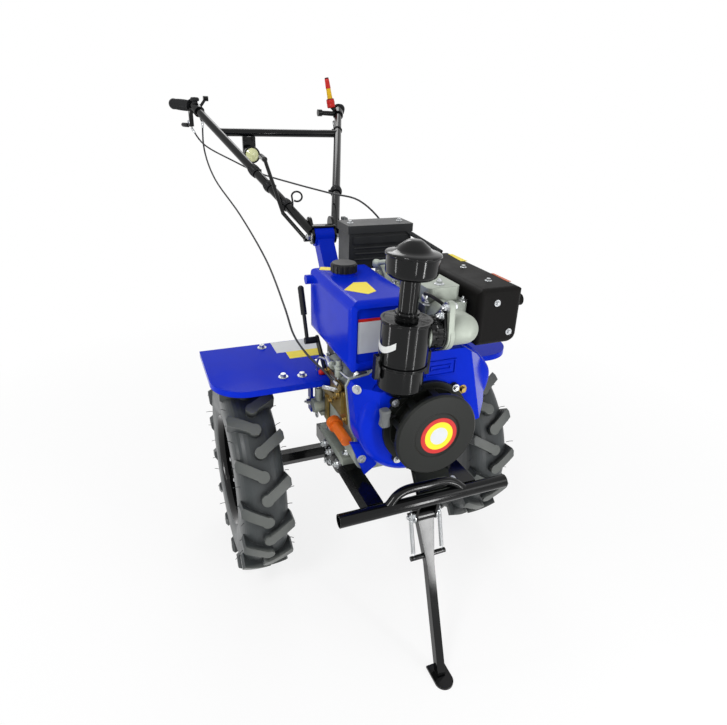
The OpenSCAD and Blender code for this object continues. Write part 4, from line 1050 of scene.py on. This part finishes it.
@dataclass
class Hardware:
    """Bolts, nuts and washers that hold the machine together.

    Attributes:
        covers: Bolts on the fan shroud.
        starter: Middle of the circle of starter bolts.
        starter_r: Radius of that circle.
        engine: The engine's other bolts.
        both_sides: Bolts of the left side that the right side mirrors.
        box_lid: Bolts on the box behind the engine.
        pivot: Nut at the handlebar's pivot, on the left side.
        lamp: Bolts of the lamp's bracket.
    """

    covers: tuple[BoltSet, ...] = (
        BoltSet(((390, -151, 703),), (0.72, -0.69, 0), 12), BoltSet(((359, -121, 497),), FORWARD, 12),
        BoltSet(((427, 91, 682),), FORWARD, 12, finish=1))
    starter: Point = (437.0, 0.0, 614.0)
    starter_r: float = 104.0
    engine: tuple[BoltSet, ...] = (
        # Muffler, from above and in front
        BoltSet(((193, 211, 893), (314, 205, 893)), UP, 9),
        BoltSet(((379, 191, 860), (379, 233, 786)), FORWARD, 9),
        # Head, rocker cover and feet
        BoltSet(tuple(product((157, 329), (37, 131), (856,))), UP, 10, 4),
        BoltSet(tuple(product((190, 296), (84,), (890,))), UP, 13, 4),
        BoltSet(tuple(product((140, 266), (-122, 122), (456,))), UP, 15, 6),
        # Left side of the case, then the governor's bracket on its right side
        BoltSet(tuple(product((135, 325), (140,), (480, 638))), LEFT, 12),
        BoltSet(((160, -139, 570), (290, -139, 570), (290, -139, 640), (160, -139, 642)), RIGHT, 10,
                finish=1),
        BoltSet(((232, -155, 596), (284, -155, 638)), RIGHT, 9, finish=1))
    both_sides: tuple[BoltSet, ...] = (
        # Fender, clutch bell, gearbox and axle boss
        BoltSet(((-65, 258, 628), (134, 248, 628), (142, 201, 628), (-70, 118, 628)), UP, 14),
        BoltSet(ring_places((0, 70, 614), 38, 6), LEFT, 10),
        BoltSet(ring_places((0, 70, 470), 31, 5), LEFT, 10),
        BoltSet(ring_places((0, 88, WHEEL_R), 43, 6), LEFT, 10),
        # Rail, fender stay, stand pivot and foot of the column
        BoltSet(tuple(product((150, 192, 250), (143,), (416,))), LEFT, 14, 4),
        BoltSet(((-70, 119, 430),), LEFT, 15, 6), BoltSet(((463, 27.5, 380),), LEFT, 17, 5),
        BoltSet(tuple(product((-80.5,), (18,), (545, 585))), BACK, 12))
    box_lid: BoltSet = BoltSet(((-88, 10, 960), (-88, 160, 960)), UP, 10)
    pivot: BoltSet = BoltSet(((PIVOT[0], 39, PIVOT[2]),), LEFT, 19, 4)
    lamp: BoltSet = BoltSet(((-792, -132, 1135), (-792, -104, 1135)), FORWARD, 10, finish=1)

    def build(self) -> None:
        """Put every fastener in its place."""
        engine = Piece("engine_bolts", Body.CHASSIS, (BRIGHT_ZINC, YELLOW_ZINC))
        engine.fasten(self.covers)
        x, y, z = self.starter
        for a in (math.radians(50 + 90 * k) for k in range(4)):
            engine.bolt((x, y + self.starter_r * math.sin(a), z - self.starter_r * math.cos(a)), FORWARD, 10)
        engine.fasten(self.engine)
        engine.done()
        chassis = Piece("chassis_bolts", Body.CHASSIS, (BRIGHT_ZINC,))
        for side in (-1, 1):
            chassis.fasten(self.both_sides, side)
        chassis.fasten([self.box_lid])
        chassis.done()
        for side, name in SIDES:
            self.wheel(side, Body(f"wheel_{name}"))
        bar = Piece("handlebar_bolts", Body.HANDLEBAR, (BRIGHT_ZINC, BLACK_ENAMEL))
        for side in (-1, 1):
            bar.fasten([self.pivot], side)
        bar.fasten([self.lamp])
        bar.done()

    def wheel(self, side: int, body: Body) -> None:
        """Nuts on a wheel's disc and a valve on its rim.

        Args:
            side: Left (1) or right (-1).
            body: Wheel that they ride on.
        """
        valve = [(0, -4), (6, -4), (6.5, 0), (4.2, 6), (4, 18), (4.6, 19), (4.6, 29), (3.4, 31), (0, 31)]
        piece = Piece(f"{body.value}_nuts", body, (BRIGHT_ZINC, BLACK_MOULDING))
        piece.fasten([BoltSet(ring_places((0, 353, WHEEL_R), 44, 4, 0), LEFT, 19, 9)], side)
        rim_r, angle, lean = 143, math.radians(70), 0.25
        p, q = math.cos(angle), math.sin(angle)
        piece.lathe((rim_r * p, side * 350, WHEEL_R + rim_r * q), (-lean * p, side, -lean * q), valve, 14, 1)
        piece.done()


@dataclass
class EngineTrim:
    """Small parts on the engine: starter rings, elbow flange, rocker lever, fuel pipe, governor, films.

    Attributes:
        badge: Middle of the starter's disc.
        badge_r: Radius and thickness of each ring of film on it.
        outlet: Middle of the air cleaner's outlet.
        outlet_lean: Direction of the flange's ears.
        wing_rim: Outer edge of the shroud's wing, as left and up.
        wing_root: Inner edge of the wing.
        pipe: Route of the steel fuel pipe along the engine's side.
        tap: Start of the fuel tap on that pipe.
        tap_way: Direction of the tap.
        cup: Foot of the filter cup.
        eye: Middle of the wire eye under the pump.
        ridges_z: Heights of the ridges on the box.
    """

    badge: Point = (486.0, 5.0, 611.0)
    badge_r: tuple[Flat, ...] = ((44, 0.5), (34, 0.8), (21, 1.1))
    outlet: Point = (440.0, 0.0, 836.0)
    outlet_lean: Point = (0.33, 0.0, 0.94)
    wing_rim: tuple[Flat, ...] = (
        (86, 785), (147, 745), (183, 714), (210.5, 676), (210.5, 636), (193, 605), (139, 593))
    wing_root: tuple[Flat, ...] = (
        (82, 752), (128, 726), (156, 702), (178, 668), (178, 640), (170, 618), (136, 606))
    pipe: tuple[Point, ...] = (
        (128, -152, 579), (126, -154, 610), (122, -156, 640), (135, -152, 668), (190, -148, 682),
        (260, -146, 690), (312, -144, 694), (332, -138, 700), (336, -126, 716))
    tap: Point = (196.0, -147.6, 683.0)
    tap_way: Point = (70.0, 2.0, 8.0)
    cup: Point = (262.0, -146.0, 672.0)
    eye: Point = (120.0, -156.0, 496.0)
    ridges_z: Point = (866.0, 882.0, 898.0)

    def build(self) -> None:
        """Make the engine's small parts."""
        self.roundel()
        self.spacer()
        self.pull_handle()
        self.wing()
        self.breather()
        self.steel_pipe()
        self.box_ridges()
        self.governor()
        self.films()

    def roundel(self) -> None:
        """Lay plain rings of film on the starter's disc."""
        piece = Piece("starter_badge", Body.CHASSIS, (RED_FILM, YELLOW_FILM, GREY_FILM))
        for finish, (r, lift) in enumerate(self.badge_r):
            piece.lathe(self.badge, FORWARD, [(0, -0.5), (r, -0.5), (r, lift), (0, lift)], 48, finish)
        piece.done()

    def spacer(self) -> None:
        """Fit the black outlet, the flange with ears and their nuts between air cleaner and elbow."""
        piece = Piece("elbow_spacer", Body.CHASSIS, (BLACK_ENAMEL, CAST_ALUMINIUM, BRIGHT_ZINC))
        x, _, z = self.outlet
        sleeve = [(0, 0), (33.5, 0), (33.5, 12), (35, 14), (35, 24), (33, 25), (0, 25)]
        piece.lathe((x, -24, z), LEFT, sleeve, 40, 0)
        for a in (math.radians(-120 + 30 * k) for k in range(9)):
            rib = (x + 34 * math.sin(a), -16, z + 34 * math.cos(a))
            piece.prism(rib, LEFT, oblong(-2, -3, 4, 6), 17, 0.5, 0, (math.sin(a), 0, math.cos(a)))
        lean = Vector(self.outlet_lean).normalized()
        gasket_y, flange_y, back_y = 2, 9, 23
        gasket = wrapped([(0, 0, 35), (0, 44, 12), (0, -34, 12)])
        flange = wrapped([(0, 0, 38.5), (0, 64, 13), (0, -36, 13)])
        piece.prism((x, gasket_y, z), LEFT, gasket, flange_y - gasket_y, 0.8, 0, tuple(lean))
        piece.prism((x, flange_y, z), LEFT, flange, back_y - flange_y, 2.0, 1, tuple(lean))
        for along, face in ((44, gasket_y), (-34, gasket_y), (64, flange_y)):
            piece.bolt(tuple(Vector((x, face, z)) + lean * along), RIGHT, 12, 2, 5)
            piece.bolt(tuple(Vector((x, back_y, z)) + lean * along), LEFT, 12, 2, 2)
        piece.done()

    def pull_handle(self) -> None:
        """Mould the starter's pull handle, rounded and waisted like a small dumb-bell."""
        piece = Piece("pull_handle", Body.CHASSIS, (GREY_MOULDING, BLACK_MOULDING))
        (x0, y0, z), (x1, y1, top) = box_mm("recoil_handle")
        x, y, half, tall, square = (x0 + x1) / 2, (y0 + y1) / 2, (x1 - x0) / 2, top - z, 0.55
        ring = [tuple(math.copysign(abs(v) ** square, v) for v in corner) for corner in circle(1, 32)]
        rows = []
        for share in (k / 24 for k in range(25)):
            swell = 0.80 + 0.20 * abs(2 * share - 1) ** 1.5
            swell *= min(1.0, 0.75 + 4 * min(share, 1 - share))
            rows.append([at(x + p * half * swell, y + q * half * swell, z + tall * share) for p, q in ring])
        piece.skin(rows, 0)
        neck = [(0, 0), (6, 0), (5, 5), (3, 7), (3, 14), (0, 14)]
        piece.lathe((x, y + half - 2, z + tall / 2), LEFT, neck, 16, 1)
        piece.done(40.0, "recoil_handle")

    def wing(self) -> None:
        """Press the shroud's rolled edge that covers the casting's flange on the left side."""
        piece = Piece("shroud_wing", Body.CHASSIS, (BLUE_ENAMEL,))
        rim, root = (smooth([(0, y, z) for y, z in line], 5) for line in (self.wing_rim, self.wing_root))
        rows = []
        for out, back in zip(rim, root):
            way = (out - back).normalized()
            rows.append([at(*(p + Vector((x, 0, 0)))) for p, x in (
                (back, 350), (back, 362), (out - way * 6, 353.5), (out + way * 2, 351),
                (out + way * 5.5, 347), (out + way * 5.5, 340), (out + way * 2, 340))])
        piece.skin(rows, 0)
        piece.done(40.0)

    def breather(self) -> None:
        """Cast the release lever and the breather at the back of the rocker cover, with its hose."""
        piece = Piece("rocker_lever", Body.CHASSIS, (CAST_ALUMINIUM, BLACK_MOULDING, BRIGHT_ZINC))
        hub = [(0, 0), (13, 0), (13, 7), (11, 9), (9, 15), (0, 16)]
        knob = [(0, 0), (7, 0), (10, 4), (10, 15), (7, 19), (0, 20)]
        arm = [(180, 52, 899), (160, 40, 904), (132, 24, 904), (108, 8, 896)]
        piece.lathe((180, 52, 889), UP, hub, 24, 0)
        piece.tube(smooth(arm, 6), 6.5, 14, 0)
        piece.lathe((108, 8, 886), UP, knob, 20, 0)
        wall = [(40, 842), (40, 882), (16, 890), (-16, 874), (-30, 852), (-16, 836), (10, 832)]
        lid = [(0, 0), (17, 0), (17, 6), (14, 9), (0, 9)]
        outlet = [(0, -10), (11, -10), (11, 12), (8.5, 14), (8.5, 26), (0, 26)]
        piece.prism((110, 22, 0), LEFT, wall, 42, 3.0, 0)
        piece.lathe((98, 23, 858), RIGHT, lid, 24, 0)
        piece.bolt((98, 14, 858), RIGHT, 13, 2)
        piece.lathe((170, 96, 874), (-1, 0, 0.25), outlet, 20, 0)
        hose = [(152, 96, 879), (120, 96, 884), (96, 90, 868), (92, 82, 820), (110, 70, 740), (130, 66, 664)]
        leak_off = [(310, 42, 872), (332, 30, 884), (356, 30, 886), (380, 44, 876), (388, 58, 862)]
        piece.tube(smooth(hose, 8), 7.0, 12, 1)
        piece.tube(smooth(leak_off, 8), 4.0, 10, 1)
        piece.prism((311, 42, 858), UP, circle(9, 6), 15, 1.0, 2)
        piece.done(45.0)

    def steel_pipe(self) -> None:
        """Bend the fuel pipe along the engine's side, with its nuts, tap, filter cup and wire eye."""
        piece = Piece("fuel_pipe", Body.CHASSIS, (BRIGHT_ZINC, CAST_ALUMINIUM))
        piece.tube(smooth(self.pipe, 6), 3.2, 10)
        for a, b in (self.pipe[:2], self.pipe[:-3:-1]):
            piece.prism(a, tuple(Vector(b) - Vector(a)), circle(7.5, 6), 12, 1.0)
        nut = tuple(p - 0.1 * q for p, q in zip(self.tap, self.tap_way))
        body = [(0, 0), (9, 0), (10.5, 2), (10.5, 11), (7, 13), (7, 20), (10, 22), (10, 33), (0, 34)]
        piece.prism(nut, self.tap_way, circle(8, 6), 9, 1.0)
        piece.lathe(self.tap, self.tap_way, body, 20, 1)
        piece.prism((214, -150, 686), RIGHT, wrapped([(0, 0, 7), (-16, 9, 4)]), 9, 1.2)
        bowl = [(0, 0), (6, 0), (9.5, 3), (9.5, 22), (11, 23), (11, 29), (7, 31), (7, 44), (0, 44)]
        drain = [(0, -1), (4.5, -1), (4.5, 5), (3, 7), (0, 7)]
        piece.lathe(self.cup, UP, bowl, 20, 1)
        piece.lathe(self.cup, (0, 0, -1), drain, 14)
        x, y, z = self.eye
        piece.tube([(x + p, y, z + q) for p, q in circle(9, 20)], 2.2, 8, 0, True)
        piece.done(50.0)

    def box_ridges(self) -> None:
        """Mould the long ridges on the front of the box behind the engine."""
        piece = Piece("box_ridges", Body.CHASSIS, (BOX_MOULDING,))
        face, start, end = -46, 8, 168
        section = [(0, -3.2), (0, 3.2), (2.2, 2.2), (3.0, 0), (2.2, -2.2)]
        swells = ((start, 0.3), (start + 3, 0.85), (start + 8, 1.0),
                  (end - 8, 1.0), (end - 3, 0.85), (end, 0.3))
        for z in self.ridges_z:
            piece.skin([[at(face + x * swell, y, z + q * swell) for x, q in section]
                        for y, swell in swells], 0)
        piece.done(50.0)

    def governor(self) -> None:
        """Hang the governor's spring and cap the stop screw in red."""
        piece = Piece("governor_spring", Body.CHASSIS, (BRIGHT_ZINC, RED_MOULDING))
        start, end = Vector((172, -158, 604)), Vector((288, -158, 652))
        way, side = (end - start).normalized(), Vector(LEFT)
        wire = coil(start, way, (way.cross(side), side), 4.5, 18, (12, 112))
        piece.tube([start, *wire, end], 1.0, 6)
        cap = [(0, 0), (8, 0), (8, 3), (6.5, 4), (7.5, 6), (7.5, 16), (5, 19), (0, 19)]
        piece.lathe((150, -140, 634), RIGHT, cap, 18, 1)
        piece.done(50.0)

    def films(self) -> None:
        """Lay the plain films on the tank, fender, muffler and air cleaner."""
        colours = (WHITE_FILM, YELLOW_FILM, RED_FILM, ORANGE_FILM, GREY_FILM)
        piece = Piece("plain_films", Body.CHASSIS, colours)
        white, yellow, red, orange, grey = range(5)
        thick, fender_z, tank_z, muffler_z, tank_x = 0.7, 627.8, 877.8, 892.8, 332.8
        for z, finish, corners in (
                (fender_z, white, oblong(-90, -228, 76, 122)),
                (fender_z, yellow, oblong(-14, -203, 46, 97)),
                (tank_z, yellow, [(241, -128), (193, -87), (198, -56), (269, -61), (284, -87)]),
                (muffler_z, yellow, [(62, 243), (66, 254), (142, 254), (138, 237)]),
                (muffler_z, orange, [(262, 248), (264, 254), (336, 254), (334, 245)]),
                (tank_z, yellow, [(66, -130), (40, -118), (52, -96), (80, -104)])):
            piece.prism((0, 0, z), UP, corners, thick, 0, finish, LEFT)
        for finish, corners in ((grey, oblong(-129, 759, 53, 74)), (red, oblong(-129, 833, 53, 7))):
            piece.prism((tank_x, 0, 0), FORWARD, corners, thick, 0, finish)
        x, y, foot_z = CLEANER_FOOT
        slope, inner, outer, low, high = 0.0437, 50.6, 51.5, 826, 840
        rows = []
        for share in (k / 12 for k in range(13)):
            a = math.radians(-125 + 80 * share)
            droop = 16 * math.sin(math.pi * share)
            rows.append([at(x + r * math.cos(a), y + (z - foot_z) * slope + r * math.sin(a), z) for r, z in (
                (inner, low - droop), (outer, low - droop), (outer, high - droop), (inner, high - droop))])
        piece.skin(rows, white)
        piece.done()


@dataclass
class AirCleaner:
    """Turned cap and rolled seams of the air cleaner, which leans a little to the left.

    Attributes:
        lean: Tilt of the axis in degrees.
        cap_z: Height of the cap's underside.
        cap: Radius of the cap and height above its underside.
        radius: Radius of the body.
        seams: Height of each seam and how far it stands out.
    """

    lean: float = 2.5
    cap_z: float = 958.0
    cap: tuple[Flat, ...] = (
        (0, 0), (33, 0), (44, 2), (50.5, 7), (52.5, 13), (52.5, 42.5), (54.5, 43.5), (55.5, 45.5), (55, 48),
        (53, 49.5), (45, 51), (37, 53), (33, 56), (30.5, 60), (17, 70.5), (13.5, 72.6), (8, 73.4), (0, 73.6))
    radius: float = 51.0
    seams: tuple[Flat, ...] = ((777.0, 2.2), (871.0, 1.6))

    def build(self) -> None:
        """Make the cap and the seams."""
        foot_z = CLEANER_FOOT[2]
        way = (0, math.sin(math.radians(self.lean)), math.cos(math.radians(self.lean)))
        hood = Piece("cleaner_hood", Body.CHASSIS, (BLACK_ENAMEL,))
        hood.lathe(CLEANER_FOOT, way, [(r, h + self.cap_z - foot_z) for r, h in self.cap], 56)
        hood.done(50.0, "cleaner_cap")
        seam = Piece("cleaner_seam", Body.CHASSIS, (BLACK_ENAMEL,))
        for z, proud in self.seams:
            rolled = ((-2, -4), (proud * 0.7, -3.4), (proud, -2), (proud, -0.8), (proud * 0.5, 0),
                      (proud, 0.8), (proud, 2), (proud * 0.7, 3.4), (-2, 4))
            seam.lathe(CLEANER_FOOT, way, [(self.radius + r, h + z - foot_z) for r, h in rolled], 56)
        seam.done(50.0)


@dataclass
class FrontEnd:
    """Bent bow on the bumper and the plate between the rails.

    Attributes:
        bow: Route of the bow's tube from right to left.
        bow_r: Radius of the tube.
        plate: Outline of the plate, whose free edge runs aslant.
        plate_z: Underside of the plate.
        plate_t: Thickness of the plate.
        edge_r: Radius of the roll along its free edge.
        bolts_x: Places of the plate's bolts along the rail.
    """

    bow: tuple[Point, ...] = (
        (468, -102, 430), (466, -91, 439), (461, -74, 452), (458, -48, 460), (458, 0, 460.5), (458, 48, 460),
        (461, 74, 452), (466, 91, 439), (468, 102, 430))
    bow_r: float = 11.0
    plate: tuple[Flat, ...] = ((332, 27), (451, -14), (451, 103), (332, 103))
    plate_z: float = 431.0
    plate_t: float = 5.0
    edge_r: float = 4.0
    bolts_x: Flat = (352, 430)

    def build(self) -> None:
        """Make the bow and the plate."""
        bow = Piece("bent_bow", Body.CHASSIS, (BLACK_ENAMEL,))
        bow.tube(smooth(self.bow, 6), self.bow_r, 20)
        bow.done(60.0, "bumper_bow")
        sheet = Piece("rail_plate", Body.CHASSIS, (BLACK_ENAMEL, BRIGHT_ZINC))
        sheet.prism((0, 0, self.plate_z), UP, self.plate, self.plate_t, 0.8, 0, LEFT)
        sheet.tube([(x, y, self.plate_z + 2) for x, y in self.plate[:2]], self.edge_r, 12)
        for x in self.bolts_x:
            sheet.bolt((x, 92, self.plate_z + self.plate_t), UP, 10, 1)
        sheet.done(stands_for="front_plate")


@dataclass
class TyreTrim:
    """Vent hairs that the tyre moulds leave on the shoulders.

    Attributes:
        half_track: Distance of a wheel's middle from the machine's middle.
        half_w: Half of the tyre's width.
        inset: How far inside the tyre's side a hair is rooted.
        hairs: Vent hairs on each shoulder.
        hair_r: Radius of a hair.
        ground: Sine of the angle below which the tyre stands on the ground and has no hairs.
    """

    half_track: float = 333.0
    half_w: float = 66.0
    inset: float = 8.0
    hairs: int = 30
    hair_r: float = 0.8
    ground: float = -0.9

    def build(self) -> None:
        """Trim both tyres."""
        for side, name in SIDES:
            body = Body(f"wheel_{name}")
            piece = Piece(f"{body.value}_vents", body, (TYRE_RUBBER,))
            draw = np.random.default_rng(11 + side)
            for k in range(self.hairs * 2):
                edge = 1 if k % 2 else -1
                a = 2 * math.pi * (k + draw.uniform(-0.4, 0.4)) / (self.hairs * 2)
                if math.sin(a) < self.ground:
                    continue
                r = WHEEL_R - draw.uniform(30, 46)
                out = Vector((math.cos(a), 0, math.sin(a)))
                shoulder = side * self.half_track + edge * (self.half_w - self.inset)
                root = Vector((0, shoulder, WHEEL_R)) + out * r
                lean = Vector((draw.uniform(-0.4, 0.4), edge, draw.uniform(-0.4, 0.4)))
                lean += out * draw.uniform(0.1, 0.9)
                tip = root + lean.normalized() * draw.uniform(9, 22)
                piece.tube([root, (root + tip) / 2 + Vector(UP), tip], self.hair_r, 4)
            piece.done(60.0)


def main() -> None:
    """Build the studio, then the machine's pieces in order."""
    logging.basicConfig(level=logging.INFO, format="%(name)s: %(message)s")
    Studio().build()
    Solids({"lever_left": BLACK_ENAMEL, "recoil_cover": SATIN_BLACK, "rear_box": BOX_MOULDING}).dress()
    for group in (Cables, StandSprings, Controls, Hardware, EngineTrim, AirCleaner, FrontEnd, TyreTrim):
        group().build()


if __name__ == "__main__":
    main()
